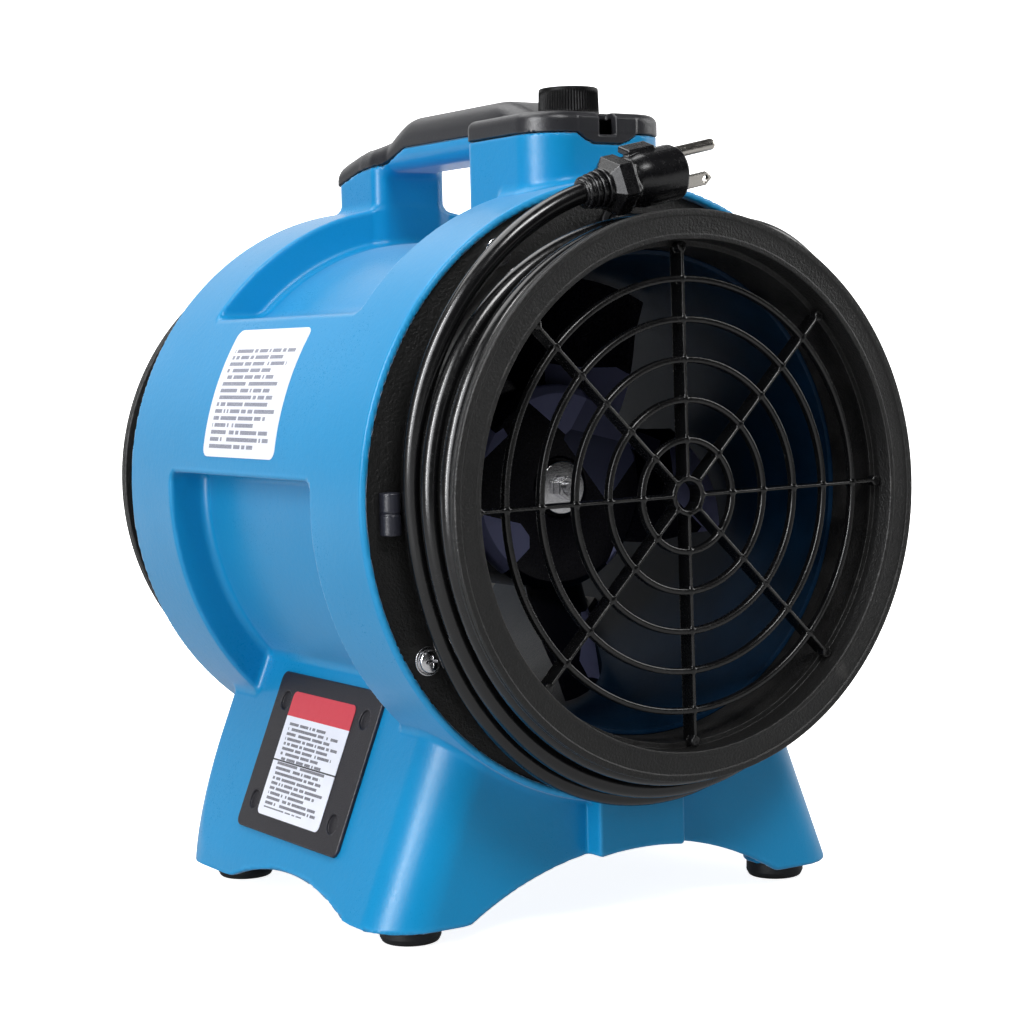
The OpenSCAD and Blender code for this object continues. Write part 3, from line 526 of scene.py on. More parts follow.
def metal(name, color, rough, stretch=(1, 1, 1), scale=900, depth=0.08, bevel=0.0002,
          tarnish=None, brushed=0.12):
    """Metal: fine tool marks in bump and roughness, darker patches, and softened edges."""
    n = Nodes(name)
    marks = n.noise(scale, 4, 0.6, stretch)
    patch = n.noise(70, 5, 0.6)
    body = n.mix(n.ramp(marks, 0.3, 0.7), scaled(color, 0.9), scaled(color, 1.08))
    body = n.mix(n.ramp(patch, 0.55, 0.8, 0, 0.5), body, tarnish or scaled(color, 0.7))
    gloss = n.ramp(marks, 0.3, 0.7, max(rough - brushed / 2, 0.04), rough + brushed / 2)
    normal = n.add("Bevel", {"Radius": bevel}, samples=4).outputs[0] if bevel else None
    normal = n.bump(marks, depth, 0.0002, normal)
    return n.set(Base_Color=body, Metallic=1.0, Roughness=gloss, Normal=normal)


BLUE = (0.002, 0.25, 0.525)


def blue_plastic():
    """Satin blue moulding: a fine orange-peel grain and a slight bloom in the sheen."""
    n = Nodes("blue_plastic")
    drift = n.noise(7, 4)
    fine = n.noise(1500, 3, 0.6)
    peel = n.noise(420, 2, 0.5)
    body = n.mix(n.ramp(drift, 0.3, 0.7), scaled(BLUE, 0.95), scaled(BLUE, 1.05))
    body = n.mix(n.ramp(fine, 0.35, 0.75, 0.0, 0.16), body, scaled(BLUE, 1.25))
    body = n.mix(n.ramp(n.noise(900, 1), 0.72, 0.8, 0, 0.25), body, scaled(BLUE, 0.7))
    point = n.add("NewGeometry").outputs["Pointiness"]
    worn = n.math("MULTIPLY", n.ramp(point, 0.51, 0.56), n.ramp(n.noise(45, 5), 0.3, 0.7, 0.2, 0.6))
    body = n.mix(worn, body, (0.04, 0.36, 0.72))
    gloss = n.math("ADD", n.ramp(fine, 0.3, 0.7, 0.28, 0.38),
                   n.ramp(n.noise(22, 5, 0.6), 0.35, 0.75, -0.03, 0.05))
    scuff = n.noise(160, 6, 0.7, (1, 1, 0.12))
    gloss = n.math("ADD", gloss, n.ramp(scuff, 0.66, 0.78, 0, 0.1))
    height = n.math("ADD", n.math("MULTIPLY", fine, 0.6), peel)
    return n.set(Base_Color=body, Roughness=gloss, Normal=n.bump(height, 0.16, 0.0004),
                 Specular_IOR_Level=0.34, Sheen_Weight=0.3, Sheen_Roughness=0.35,
                 Sheen_Tint=(0.86, 0.88, 1.0))


def label_paper(name, header, rows, first_row, line_color):
    """White label with a plain header band and rows of short bars in place of print."""
    n = Nodes(name)
    split = n.add("SeparateXYZ", {"Vector": n.uv})
    u, v = split.outputs[0], split.outputs[1]
    paper = n.mix(n.ramp(n.noise(90, 4), 0.3, 0.7), (0.82, 0.84, 0.92), (0.87, 0.89, 0.97))
    inside_u = n.math("MULTIPLY", n.math("GREATER_THAN", u, 0.08), n.math("LESS_THAN", u, 0.92))
    row = n.math("MULTIPLY", v, rows)
    part = n.math("FRACT", row)
    bar = n.math("MULTIPLY", n.math("GREATER_THAN", part, 0.22), n.math("LESS_THAN", part, 0.78))
    line = n.math("FLOOR", row)
    seed = n.add("TexWhiteNoise", {"W": line}, noise_dimensions="1D").outputs["Value"]
    ends = n.math("LESS_THAN", u, n.ramp(seed, 0, 1, 0.66, 0.93))
    bar = n.math("MULTIPLY", n.math("MULTIPLY", bar, ends), inside_u)
    column = n.math("FLOOR", n.math("MULTIPLY", u, 44))
    spot = n.add("CombineXYZ", {"X": column, "Y": line}).outputs[0]
    gap = n.add("TexWhiteNoise", {"Vector": spot}, noise_dimensions="2D").outputs["Value"]
    bar = n.math("MULTIPLY", bar, n.math("GREATER_THAN", gap, 0.15))
    zone = n.math("MULTIPLY", n.math("LESS_THAN", v, first_row), n.math("GREATER_THAN", v, 0.06))
    bar = n.math("MULTIPLY", n.math("MULTIPLY", bar, zone), n.ramp(n.noise(2600, 2), 0.3, 0.6, 0.7, 1.0))
    body = n.mix(bar, paper, line_color)
    if header:
        body = n.mix(n.math("GREATER_THAN", v, header[0]), body, header[1])
        rule = n.math("MULTIPLY", n.math("GREATER_THAN", v, 0.435), n.math("LESS_THAN", v, 0.447))
        body = n.mix(rule, body, (0.03, 0.03, 0.035))
    gloss = n.ramp(n.noise(500, 3), 0.3, 0.7, 0.32, 0.42)
    return n.set(Base_Color=body, Roughness=gloss, Normal=n.bump(n.noise(700, 2), 0.05, 0.0002))


def laminations():
    """Stacked steel sheets: fine bands along the motor axis."""
    n = Nodes("stacked_steel")
    split = n.add("SeparateXYZ", {"Vector": n.place})
    band = n.math("FRACT", n.math("MULTIPLY", split.outputs[1], 1400))
    sheet = n.math("FLOOR", n.math("MULTIPLY", split.outputs[1], 1400))
    seed = n.add("TexWhiteNoise", {"W": sheet}, noise_dimensions="1D").outputs["Value"]
    body = n.mix(seed, (0.20, 0.20, 0.215), (0.34, 0.34, 0.36))
    body = n.mix(n.ramp(n.noise(120, 5), 0.55, 0.8, 0, 0.5), body, (0.16, 0.10, 0.07))
    gloss = n.ramp(n.noise(500, 3), 0.3, 0.7, 0.35, 0.55)
    return n.set(Base_Color=body, Metallic=0.9, Roughness=gloss, Normal=n.bump(band, 0.3, 0.0002))


def winding():
    """Varnished copper wire, laid round the stator end."""
    n = Nodes("copper_wire")
    wave = n.add("TexWave", {"Vector": n.place, "Scale": 260, "Distortion": 5, "Detail": 3,
                             "Detail Scale": 60}, wave_type="RINGS", rings_direction="Y")
    strand = wave.outputs["Fac"]
    body = n.mix(strand, (0.16, 0.045, 0.018), (0.52, 0.20, 0.085))
    return n.set(Base_Color=body, Metallic=0.75, Roughness=n.ramp(strand, 0, 1, 0.5, 0.28),
                 Normal=n.bump(strand, 0.7, 0.0005), Coat_Weight=0.4)


def impeller_plastic():
    """Glossy black blades with painted bluish-grey reflection patches in random Voronoi cells."""
    n = Nodes("impeller_plastic")
    # Painted reflection: sharp-edged random cells are coloured bluish-grey in place of light reflected off the
    # blades.
    cell = n.add("TexVoronoi", {"Vector": n.place, "Scale": 34.0, "Randomness": 1.0})
    pick = n.add("SeparateXYZ", {"Vector": cell.outputs["Color"]}).outputs[0]
    painted_reflection_patch = n.ramp(pick, 0.70, 0.72)
    fine = n.noise(900, 3, 0.6)
    deep = n.mix(n.ramp(fine, 0.3, 0.7), (0.0022, 0.0022, 0.0040), (0.0032, 0.0032, 0.0060))
    body = n.mix(painted_reflection_patch, deep, n.mix(n.ramp(pick, 0.7, 1.0), (0.02, 0.024, 0.05), (0.16, 0.17, 0.30)))
    gloss = n.ramp(fine, 0.3, 0.7, 0.14, 0.24)
    return n.set(Base_Color=body, Roughness=gloss, Normal=n.bump(fine, 0.06, 0.0003),
                 Specular_IOR_Level=0.12)


def cast_alloy():
    n = Nodes("cast_alloy")
    sand = n.noise(700, 5, 0.7)
    body = n.mix(n.ramp(n.noise(40, 5), 0.3, 0.7), (0.30, 0.30, 0.32), (0.42, 0.42, 0.44))
    normal = n.add("Bevel", {"Radius": 0.0006}, samples=4).outputs[0]
    return n.set(Base_Color=body, Metallic=0.85, Roughness=n.ramp(sand, 0.3, 0.7, 0.38, 0.6),
                 Normal=n.bump(sand, 0.35, 0.0004, normal))


MATS = {
    "blue_plastic": blue_plastic(),
    # Painted shade: the housing's blue darkened to deep navy for the duct tube, whose inside lies in shade.
    "duct_painted_shade": moulded("duct_painted_shade", (0.001, 0.014, 0.038), 0.40, 1400, 0.2, 0.12, 0.2,
                           edge_color=(0.01, 0.10, 0.25), shine=0.15),
    "black_plastic": moulded("black_plastic", (0.004, 0.004, 0.0043), 0.36, 1700, 0.34, 0.1, 0.3,
                             edge_color=(0.09, 0.088, 0.088), bevel=0.0003, shine=0.12),
    "flange_plastic": moulded("flange_plastic", (0.0055, 0.0054, 0.0052), 0.44, 1000, 0.9, 0.3, 0.4,
                              edge_color=(0.11, 0.105, 0.10)),
    "cover_plastic": moulded("cover_plastic", (0.020, 0.020, 0.023), 0.33, 1500, 0.25, 0.1, 0.3,
                             edge_color=(0.08, 0.08, 0.085)),
    "grille_plastic": moulded("grille_plastic", (0.0035, 0.0035, 0.0037), 0.22, 1400, 0.1, 0.12, 0.35,
                              edge_color=(0.10, 0.098, 0.095)),
    "cord_black": moulded("cord_black", (0.0035, 0.0035, 0.0039), 0.21, 520, 0.03, 0.12, 0.0,
                          coat=0.25),
    "plug_black": moulded("plug_black", (0.0035, 0.0035, 0.0042), 0.25, 700, 0.04, 0.05, 0.08,
                          edge_color=(0.10, 0.10, 0.11), coat=0.2),
    "grommet_rubber": moulded("grommet_rubber", (0.02, 0.02, 0.021), 0.6, 900, 0.4, 0.15, 0.2,
                              bevel=0.0003),
    "foot_rubber": moulded("foot_rubber", (0.008, 0.008, 0.009), 0.5, 1100, 0.35, 0.15, 0.2,
                           edge_color=(0.06, 0.06, 0.062)),
    "panel_grey": moulded("panel_grey", (0.012, 0.011, 0.016), 0.42, 1600, 0.3, 0.08, 0.3,
                          edge_color=(0.12, 0.11, 0.15)),
    "impeller_plastic": impeller_plastic(),
    "anchor_plastic": moulded("anchor_plastic", (0.016, 0.017, 0.025), 0.36, 1400, 0.25, 0.1, 0.3,
                              edge_color=(0.1, 0.1, 0.13)),
    "screw_steel": metal("screw_steel", (0.78, 0.78, 0.80), 0.20, scale=1500),
    "screw_dark": moulded("screw_dark", (0.0018, 0.0018, 0.002), 0.5, 900, 0.2, 0.1, 0.2,
                          shine=0.08),
    "shaft_steel": metal("shaft_steel", (0.52, 0.52, 0.54), 0.26, stretch=(1, 12, 1)),
    "core_steel": laminations(),
    "copper_winding": winding(),
    "motor_alloy": cast_alloy(),
    "bracket_steel": moulded("bracket_steel", (0.03, 0.03, 0.032), 0.38, 900, 0.35, 0.12, 0.4,
                             edge_color=(0.2, 0.2, 0.21), bevel=0.0003),
    "capacitor_white": moulded("capacitor_white", (0.72, 0.72, 0.69), 0.34, 800, 0.1, 0.04, 0.1,
                               bevel=0.0005),
    "terminal_cream": moulded("terminal_cream", (0.62, 0.56, 0.40), 0.42, 900, 0.2, 0.05, 0.1,
                              bevel=0.0003),
    "lead_jacket": moulded("lead_jacket", (0.03, 0.03, 0.033), 0.42, 600, 0.2, 0.12, 0.2,
                           bevel=0.0002),
    "nickel_pin": metal("nickel_pin", (0.66, 0.63, 0.58), 0.24, stretch=(0.15, 1, 1), scale=1400,
                        bevel=0.0003),
    "access_paper": label_paper("access_paper", (0.80, (0.66, 0.05, 0.075)), 25, 0.76,
                                (0.13, 0.13, 0.15)),
    "rating_paper": label_paper("rating_paper", None, 19, 0.84, (0.20, 0.21, 0.26)),
}


# ---- housing

def recess(y, up, radius, grow):
    """Region cut out of the drum between its two bands, above and below the label plateau."""
    mid, half = 0.5 * (RECESS_Y[0] + RECESS_Y[1]), 0.5 * (RECESS_Y[1] - RECESS_Y[0])
    floor = both(RECESS_R - grow - radius, np.abs(y - mid) - half - grow, 3.6)
    sector = np.minimum(LEDGES[1] - up, up - LEDGES[0]) - grow
    return both(floor, sector, 3.5)


def base_plan(x, y, z, inset, edge=0.0):
    """Base in plan: the front corners follow the flare, the rear ones are upright and cut by it."""
    half_w = FLARE_REF[0] + FLARE * (FLARE_REF[1] - z) - inset
    y0, y1, r = BASE_Y[0] + inset, BASE_Y[1] - inset, BASE_CORNER - inset
    rear = both(0.93 * (np.abs(x) - half_w), span(x, y, BASE_HALF_W - inset, y0, y1, r, r), edge)
    front = 0.93 * (corner(np.abs(x) - half_w + r, y0 - y + r) - r)
    return np.where(y < 0.5 * (y0 + y1), front, rear)


def tab_half_width(z):
    """Half-width of the cover's front tab, a trapezoid below the cap."""
    return np.interp(z, [288.1, 289.6, TOWER_Z], [6.0, 10.0, 13.0])


def post_line(y):
    """Height of the seam between the blue post and its black cover."""
    return np.interp(y, [38, 56, 72, POST_Y[1] + 0.3], [297.1, 291.4, 289.8, 284.8])


FLARE_ANGLE = math.atan(FLARE)
FLARE_UP = np.array((math.sin(FLARE_ANGLE), 0, math.cos(FLARE_ANGLE)))
FLARE_OUT = np.array((-math.cos(FLARE_ANGLE), 0, math.sin(FLARE_ANGLE)))
FLARE_AT = np.array((-FLARE_REF[0], 0, FLARE_REF[1]))


def on_flare(s, y, out):
    """Matrix of the flared left wall: local +X up the slope, +Y along, +Z out of the wall."""
    m = np.eye(4)
    m[:3, 0], m[:3, 1], m[:3, 2] = FLARE_UP, (0, 1, 0), FLARE_OUT
    m[:3, 3] = FLARE_AT + s * FLARE_UP + (0, y, 0) + out * FLARE_OUT
    return m


def housing_field(p):
    x, y, z = p.T
    up = z - AXIS
    radius = np.hypot(x, up)
    drum = both(radius - DRUM_R, np.abs(y) - HALF_DRUM, 1.1)
    drum = less(drum, recess(y, up, radius, 0), 1.3)
    base = both(base_plan(x, y, z, 0, 4), np.maximum(BASE_Z - z, z - BASE_TOP), 1.2)
    pad = block(x, y, z, *PAD_AT, *PAD_HALF, 0.9)
    base = either(base, pad, 0.6)
    front_arch = np.hypot(x, z - FRONT_ARCH_TOP + ARCH_R) - ARCH_R
    side_arch = np.hypot(y - SIDE_ARCH[0], z - SIDE_ARCH[1] + ARCH_R) - ARCH_R
    base = less(less(base, front_arch, 1.2), side_arch, 1.2)
    body = either(drum, base, 2.6)
    tower = span(x, y, TOWER_W, *TOWER_Y, *TOWER_CORNERS)
    tower = both(tower, np.maximum(IN_DRUM - z, z - TOWER_Z), 0.4)
    tab = np.maximum(np.maximum(np.abs(x) - tab_half_width(z) - 0.1, 288.0 - z), y + 82.7)
    tower = less(tower, tab)
    post = both(span(x, y, POST_W, *POST_Y, 6, 4), z - post_line(y), 0.4)
    post = both(post, IN_DRUM - z)
    upper = either(tower, post)
    grip = both(np.abs(x) - GRIP_W, GRIP_Z[0] - z, 6.5)
    grip = both(grip, z - np.minimum(post_line(y), GRIP_Z[1]), 0.4)
    grip = both(grip, np.abs(y - GRIP_MID) - GRIP_HALF)
    upper = either(upper, grip, 3.6)
    lid = np.maximum(TOWER_Z - z, y - COVER_STEP - 0.02)
    lid = np.minimum(lid, np.maximum(post_line(y) - z, 33 - y))
    lid = np.minimum(lid, GRIP_Z[1] - z)
    upper = less(upper, lid, 0.3)
    body = either(body, upper, 3.4)
    seat = np.maximum(np.maximum(radius - PANEL_R, SPIGOT_R - radius), PANEL_BACK - np.abs(y))
    body = less(body, seat, 0.7)
    inner = both(radius - DRUM_R + WALL, np.abs(y) - 88.5, 1)
    inner = less(inner, recess(y, up, radius, WALL), 1)
    inner = either(inner, np.maximum(base_plan(x, y, z, WALL, 6), np.maximum(30 - z, z - BASE_TOP + 1)), 1)
    shaft = span(x, y, TOWER_W - 3.8, -82, -38.4, *TOWER_HOLLOW)
    inner = either(inner, np.maximum(shaft, IN_DRUM + 2 - z))
    inner = either(inner, np.maximum(span(x, y, POST_W - 4, 60, 86.5, 3, 3), IN_DRUM + 2 - z))
    inner = less(inner, radius - 90)
    under = np.maximum(base_plan(x, y, z, WALL, 6), z - BASE_FLOOR)
    trough = np.maximum(np.maximum(np.abs(x) - GRIP_W + WALL, GRIP_Z[0] + WALL - z),
                        np.abs(y - 14) - 52)
    hatch = p - FLARE_AT
    slope, out = hatch @ FLARE_UP - PANEL_S, hatch @ FLARE_OUT
    hatch = np.maximum(np.abs(slope) - HATCH_HALF[0], np.abs(y - PANEL_MID_Y) - HATCH_HALF[1])
    hatch = np.maximum(hatch, np.abs(out) - 6)
    hollow = np.minimum(np.minimum(inner, under), np.minimum(trough, hatch))
    body = less(body, hollow, 0.5)
    column = np.hypot(np.abs(x) - FOOT_X, np.minimum(np.abs(y - FOOT_Y[0]), np.abs(y - FOOT_Y[1])))
    column = np.maximum(column - 12.5, np.maximum(BASE_Z - z, z - 28))
    body = either(body, np.maximum(column, base_plan(x, y, z, 0.5)))
    return less(body, radius - SLEEVE_R, 0.2)


def duct_sleeve():
    """The housing's own duct tube, which the collars fit over, in a blue darkened as painted shade."""
    outline = rounded_outline([(DUCT_R, -SPIGOT_END, 0.6), (SLEEVE_R, -SPIGOT_END, 0.5),
                               (SLEEVE_R, SPIGOT_END, 0.5), (DUCT_R, SPIGOT_END, 0.6),
                               (DUCT_R, 0, 0)])
    first = [(DUCT_R, -SPIGOT_END + 0.6)]
    # Painted shade: darkened blue instead of the housing's blue.
    turned_piece("blue_duct_tube", first + outline[1:], along_y(0), "duct_painted_shade", "housing", 256)


def housing():
    mesh = skin(housing_field, drum_low, drum_high, 1.35)
    quad_piece("blue_housing", mesh, "blue_plastic", "housing")


# ---- top cover and handle

COVER_TOP = ([-90, -62, -56, -49.7, -39.7, -34.7, -29, 37.3, 42.3, 50.3, 57.3, 65.3, 72.3, 88.3, 98],
             [299.8, 299.8, 300.9, 303.0, 306.8, 308.6, 309.2, 309.2, 307.6, 303.6, 299.2, 298.2,
              298.0, 294, 290])


def cover_top(y):
    """Height of the handle's back along its length, with its corners eased."""
    return sum(np.interp(y + d, *COVER_TOP) for d in (-3.2, -1.6, 0, 1.6, 3.2)) / 5


def cover_field(p):
    x, y, z = p.T
    top = cover_top(y)
    cap = both(span(x, y, TOWER_W + 0.3, -86, -34.4, *TOWER_CORNERS), z - CAP_TOP, 3.4)
    bar = both(np.abs(x) - GRIP_W, 0.93 * (z - top), 8)
    bar = both(bar, np.abs(y - 6) - 64, 1)
    cap = both(cap, TOWER_Z - z, 0.3)
    rear = both(span(x, y, POST_W, 54, 94.8, 9, 6), 0.95 * (z - top), 5.5)
    seam = np.minimum(post_line(y), GRIP_Z[1]) - z
    seam = np.where(y > POST_Y[1] + 0.3, 284.8 - z, seam)
    seam = np.where(y < COVER_STEP, np.maximum(TOWER_Z - z, y - COVER_STEP), seam)
    rest = both(either(bar, rear, 4), seam, 0.3)
    solid = either(cap, rest, 3)
    solid = both(solid, np.where(y < COVER_STEP, TOWER_Z - z, -9.0), 0.3)
    tab = np.maximum(0.8 * (np.abs(x) - tab_half_width(z)), 288.1 - z)
    tab = both(both(tab, z - 298), np.abs(y + 84.5) - 1.8, 0.5)
    solid = either(solid, tab, 0.8)
    slot = np.maximum(np.maximum(np.abs(x) - 3.7, 291.4 - z), y + 80.0)
    solid = less(solid, slot, 0.5)
    hollow = both(np.abs(x) - GRIP_W + 2.8, z - top + 3.3, 7)
    hollow = np.maximum(hollow, np.abs(y - 20) - 66)
    cap_hollow = np.maximum(span(x, y, TOWER_W - WALL, -82.7, -37.7, *TOWER_HOLLOW), z - 297.2)
    cap_hollow = np.maximum(cap_hollow, 0.7 * (z - top + 2.6))
    solid = less(solid, np.minimum(hollow, cap_hollow))
    knob_hole = np.hypot(x, y - KNOB_Y)
    solid = less(solid, knob_hole - 4.75, 0.3)
    return less(solid, np.maximum(knob_hole - 12.2, CAP_TOP - z), 0.4)


def top_cover():
    mesh = skin(cover_field, *mm_box("top_cover"), 0.85)
    quad_piece("black_cover", mesh, "cover_plastic", "top_cover")


# ---- collars and grilles

def collar_outline():
    """Half-section of a collar: flange with a fine lip, spigot and end panel."""
    face = -HALF_L
    return rounded_outline([
        (SEAT_R, face + 3, 0), (SEAT_R, face + 0.25, 0.6), (SEAT_R + 1.6, face + 0.25, 0.3),
        (SEAT_R + 2.1, face + 0.45, 0.4), (FLANGE_R - 2.7, face + 0.45, 0.4),
        (FLANGE_R - 2.2, face, 0.4), (FLANGE_R, face, 0.9), (FLANGE_R, face + 1.5, 0.2),
        (FLANGE_R - 0.35, face + 1.7, 0.15), (FLANGE_R - 0.35, face + 2.0, 0.15),
        (FLANGE_R, face + 2.2, 0.2), (FLANGE_R, face + 4, 0.9), (COLLAR_R, face + 4, 1.6),
        (COLLAR_R, -PANEL_Y, 2.5), (PANEL_R - 0.1, -PANEL_Y, 0.5), (PANEL_R - 0.1, -PANEL_BACK, 0),
        (SPIGOT_R + 0.05, -PANEL_BACK, 0), (SPIGOT_R + 0.05, face + 9.5, 0.3),
        (SEAT_R, face + 9.5, 0.3), (SEAT_R, face + 3, 0)], steps=5)


def collars():
    outline = collar_outline()[:-1]
    mirrored = [(r, -h) for r, h in outline]
    turned_piece("outlet_collar_piece", outline, along_y(0), "flange_plastic", "front_collar", 288)
    turned_piece("inlet_collar_piece", mirrored, along_y(0), "flange_plastic", "rear_collar", 288)


GRILLE_Y = -HALF_L + 5.7
RINGS = [20 + 14.3 * i for i in range(5)]
SPOKES = 8


def grille_field(p):
    x, y, z = p[:, 0], p[:, 1] - GRILLE_Y, p[:, 2] - AXIS
    radius = np.hypot(x, z)
    angle = np.arctan2(z, x) - math.radians(0.8)
    step = 2 * math.pi / SPOKES
    side = radius * np.sin(angle - step * np.round(angle / step))
    along = radius * np.cos(angle - step * np.round(angle / step))
    spoke = both(np.abs(side) - 0.65 - 0.02 * y, np.abs(y - 3.5) - 3.5, 0.55)
    spoke = both(spoke, np.abs(along - 47.6) - 41.0, 0.3)
    ring = np.min([np.abs(radius - r) for r in RINGS], axis=0)
    ring = both(ring - 1.2 - 0.05 * (y - 1.5), np.abs(y - 1.5) - 1.5, 0.75)
    hub = both(np.abs(radius - 6.2) - 1.0, np.abs(y - 3.5) - 3.5, 0.6)
    peg = both(np.hypot(side, along - 88.6) - 1.95, np.abs(y - 1.9) - 1.9, 0.5)
    return either(either(either(ring, spoke, 0.7), hub, 0.8), peg, 0.5)


def grilles():
    mesh = skin(grille_field, *mm_box("front_grille"), 0.55, relax=1)
    mirrored = copies(mesh, [np.diag((1.0, -1.0, 1.0, 1.0))])
    quad_piece("outlet_grille", mesh, "grille_plastic", "front_grille")
    quad_piece("inlet_grille", mirrored, "grille_plastic", "rear_grille")


# ---- screws, washers and feet

def pan_head(head_r, head_h, slot_w, dome):
    """Field of a domed screw head with a cross recess; its top is at local z = 0."""
    def field(p):
        x, y, z = p.T
        r = np.hypot(x, y)
        top = z + dome * (r / head_r) ** 2
        head = both(both(r - head_r, -head_h - z, 0.15), 0.9 * top, min(0.7, 0.4 * head_h))
        depth = 0.72 * head_h
        taper = slot_w * (1 + 0.25 * z / head_h)
        arms = np.minimum(np.maximum(np.abs(x) - taper, np.abs(y) - 0.52 * head_r),
                          np.maximum(np.abs(y) - taper, np.abs(x) - 0.52 * head_r))
        cross = either(arms, np.hypot(x, y) - 1.6 * slot_w, 0.15)
        head = less(head, np.maximum(cross, -depth - z), 0.12)
        shank = both(r - 0.42 * head_r, np.maximum(-head_h - 4.5 - z, z + head_h - 0.2), 0.2)
        return either(head, shank, 0.1)
    return field


def pan_screw(head_r, head_h, slot_w=0.42, dome=0.5, cell=0.2):
    low, high = (-head_r, -head_r, -head_h - 4.6), (head_r, head_r, 0.1)
    return skin(pan_head(head_r, head_h, slot_w, dome), low, high, cell, relax=1)


def facing(at, out, turn=0.0):
    """Matrix with local +Z along out, turned about it, at a point in mm."""
    z = Vector(out).normalized()
    m = z.to_track_quat("Z", "Y").to_matrix() @ Matrix.Rotation(math.radians(turn), 3, "Z")
    full = np.eye(4)
    full[:3, :3], full[:3, 3] = np.array(m), at
    return full


SCREW_ANGLES = (32, 122, 212, 302)
SCREW_R = 103.7


def collar_fasteners():
    heads, washers = [], []
    for side in (-1, 1):
        for a in SCREW_ANGLES:
            out = (0, side, 0)
            heads.append(facing(at_angle(a, SCREW_R, side * (PANEL_Y + 3.3)), out, a * 1.7))
            washers.append(facing(at_angle(a, SCREW_R, side * PANEL_Y), out))
    quad_piece("collar_screw_heads", copies(pan_screw(4.2, 2.4, 0.5, 0.7), heads), "screw_steel",
               "collar_screws")
    ring = rounded_outline([(3, 0, 0), (5.3, 0, 0.2), (5.3, 0.9, 0.35), (1.95, 0.9, 0.2),
                            (1.95, 0, 0), (3, 0, 0)])[:-1]
    face_piece("collar_washer_rings", *turned_copies(ring, 56, washers), "screw_steel",
               "collar_washers")


def feet():
    outline = rounded_outline([
        (2.2, 2.6, 0), (4.4, 2.6, 0.2), (4.6, 0, 0.5), (6.4, 0, 0.3), (6.7, 0.35, 0.2),
        (7.1, 0.35, 0.2), (7.4, 0, 0.3), (10.2, 0, 1.4), (11.3, 2.2, 1.2), (11.2, 6.38, 0.6),
        (2.2, 6.38, 0.2), (2.2, 2.6, 0)])[:-1]
    places = [(side * FOOT_X, y) for side in (-1, 1) for y in FOOT_Y]
    screws = [facing((x, y, 0.45), (0, 0, -1), 25 + 40 * i) for i, (x, y) in enumerate(places)]
    face_piece("rubber_feet_piece", *turned_copies(outline, 96, [shift(x, y, 0) for x, y in places]),
               "foot_rubber", "rubber_feet")
    quad_piece("foot_screw_heads", copies(pan_screw(4.0, 2.1), screws), "screw_steel",
               "foot_screws")


# ---- side panel and labels

PANEL_HALF = (32.0, 41.2)
PANEL_HOLES = [(sx * 20.4, sy * 32) for sx in (-1, 1) for sy in (-1, 1)]


def panel_field(p):
    x, y, z = p.T
    plan = span(x, y, PANEL_HALF[0], -PANEL_HALF[1], PANEL_HALF[1], 3.4, 3.4)
    plate = both(both(plan, -z), z - PANEL_T, 0.5)
    hole = np.min([np.hypot(x - hx, y - hy) for hx, hy in PANEL_HOLES], axis=0)
    sink = np.maximum(hole - 3.7, PANEL_T - 0.9 - z)
    return less(plate, sink, 0.3)


def access_panel():
    half_w, half_l = PANEL_HALF
    mesh = skin(panel_field, (-half_w, -half_l, 0), (half_w, half_l, PANEL_T), 0.5, relax=1)
    place = on_flare(PANEL_S, PANEL_MID_Y, 0.01)
    quad_piece("access_panel_plate", copies(mesh, [place]), "panel_grey", "access_panel")
    screws = [on_flare(PANEL_S + x, PANEL_MID_Y + y, PANEL_T - 0.88) for x, y in PANEL_HOLES]
    quad_piece("access_screw_heads", copies(pan_screw(3.25, 0.45, 0.25, 0.2, 0.1), screws),
               "screw_dark", "access_panel_screws")


LABEL_T = 0.18


def sheet(name, w, h, corner_r, place, material, node):
    """Thin rounded-corner sheet; place maps (across, up, out) to points in mm."""
    bends = corner_r * (1 - np.cos(np.linspace(0, math.pi / 2, 8)))
    rows = np.concatenate([bends, np.linspace(corner_r, h - corner_r, 26)[1:-1], h - bends[::-1]])
    columns = np.linspace(-1, 1, 40)
    p, uv = [], []
    for out in (0.0, LABEL_T):
        for v in rows:
            gap = max(0.0, corner_r - min(v, h - v))
            half = w / 2 - corner_r + math.sqrt(max(corner_r ** 2 - gap ** 2, 1e-4))
            for c in columns:
                p.append(place(c * half, v - h / 2, out))
                uv.append((0.5 + c * half / w, v / h))
    m, n = len(rows), len(columns)
    faces = []
    for i in range(m - 1):
        for j in range(n - 1):
            a = i * n + j
            faces.append((a + 1, a, a + n, a + n + 1))
            faces.append(tuple(v + m * n for v in (a, a + 1, a + n + 1, a + n)))
    rim = list(range(n)) + [i * n + n - 1 for i in range(1, m)]
    rim += [(m - 1) * n + j for j in range(n - 2, -1, -1)] + [i * n for i in range(m - 2, 0, -1)]
    for a, b in zip(rim, rim[1:] + rim[:1]):
        faces.append((a, b, b + m * n, a + m * n))
    faces = turn_faces_out(np.array(p), faces)
    face_piece(name, p, faces, material, node, uv=uv)


def labels():
    on_panel = on_flare(PANEL_S - 0.2, -0.5, PANEL_T + 0.02)

    def on_plate(across, up, out):
        return on_panel[:3, :3] @ np.array((up, -across, out)) + on_panel[:3, 3]

    def on_drum(across, up, out):
        angle = math.radians(20.5) + up / DRUM_R
        r = DRUM_R + 0.02 + out
        return np.array((-r * math.cos(angle), -1.2 - across, AXIS + r * math.sin(angle)))

    sheet("access_label_sheet", 50.5, 50, 2.5, on_plate, "access_paper", "access_label")
    sheet("rating_label_sheet", 60, 52, 3.5, on_drum, "rating_paper", "rating_label")


# ---- impeller

HUB_R = 40.0
HUB_Y = (-50.0, -8.0)
BLADES = 5
TIP_R = 85.0


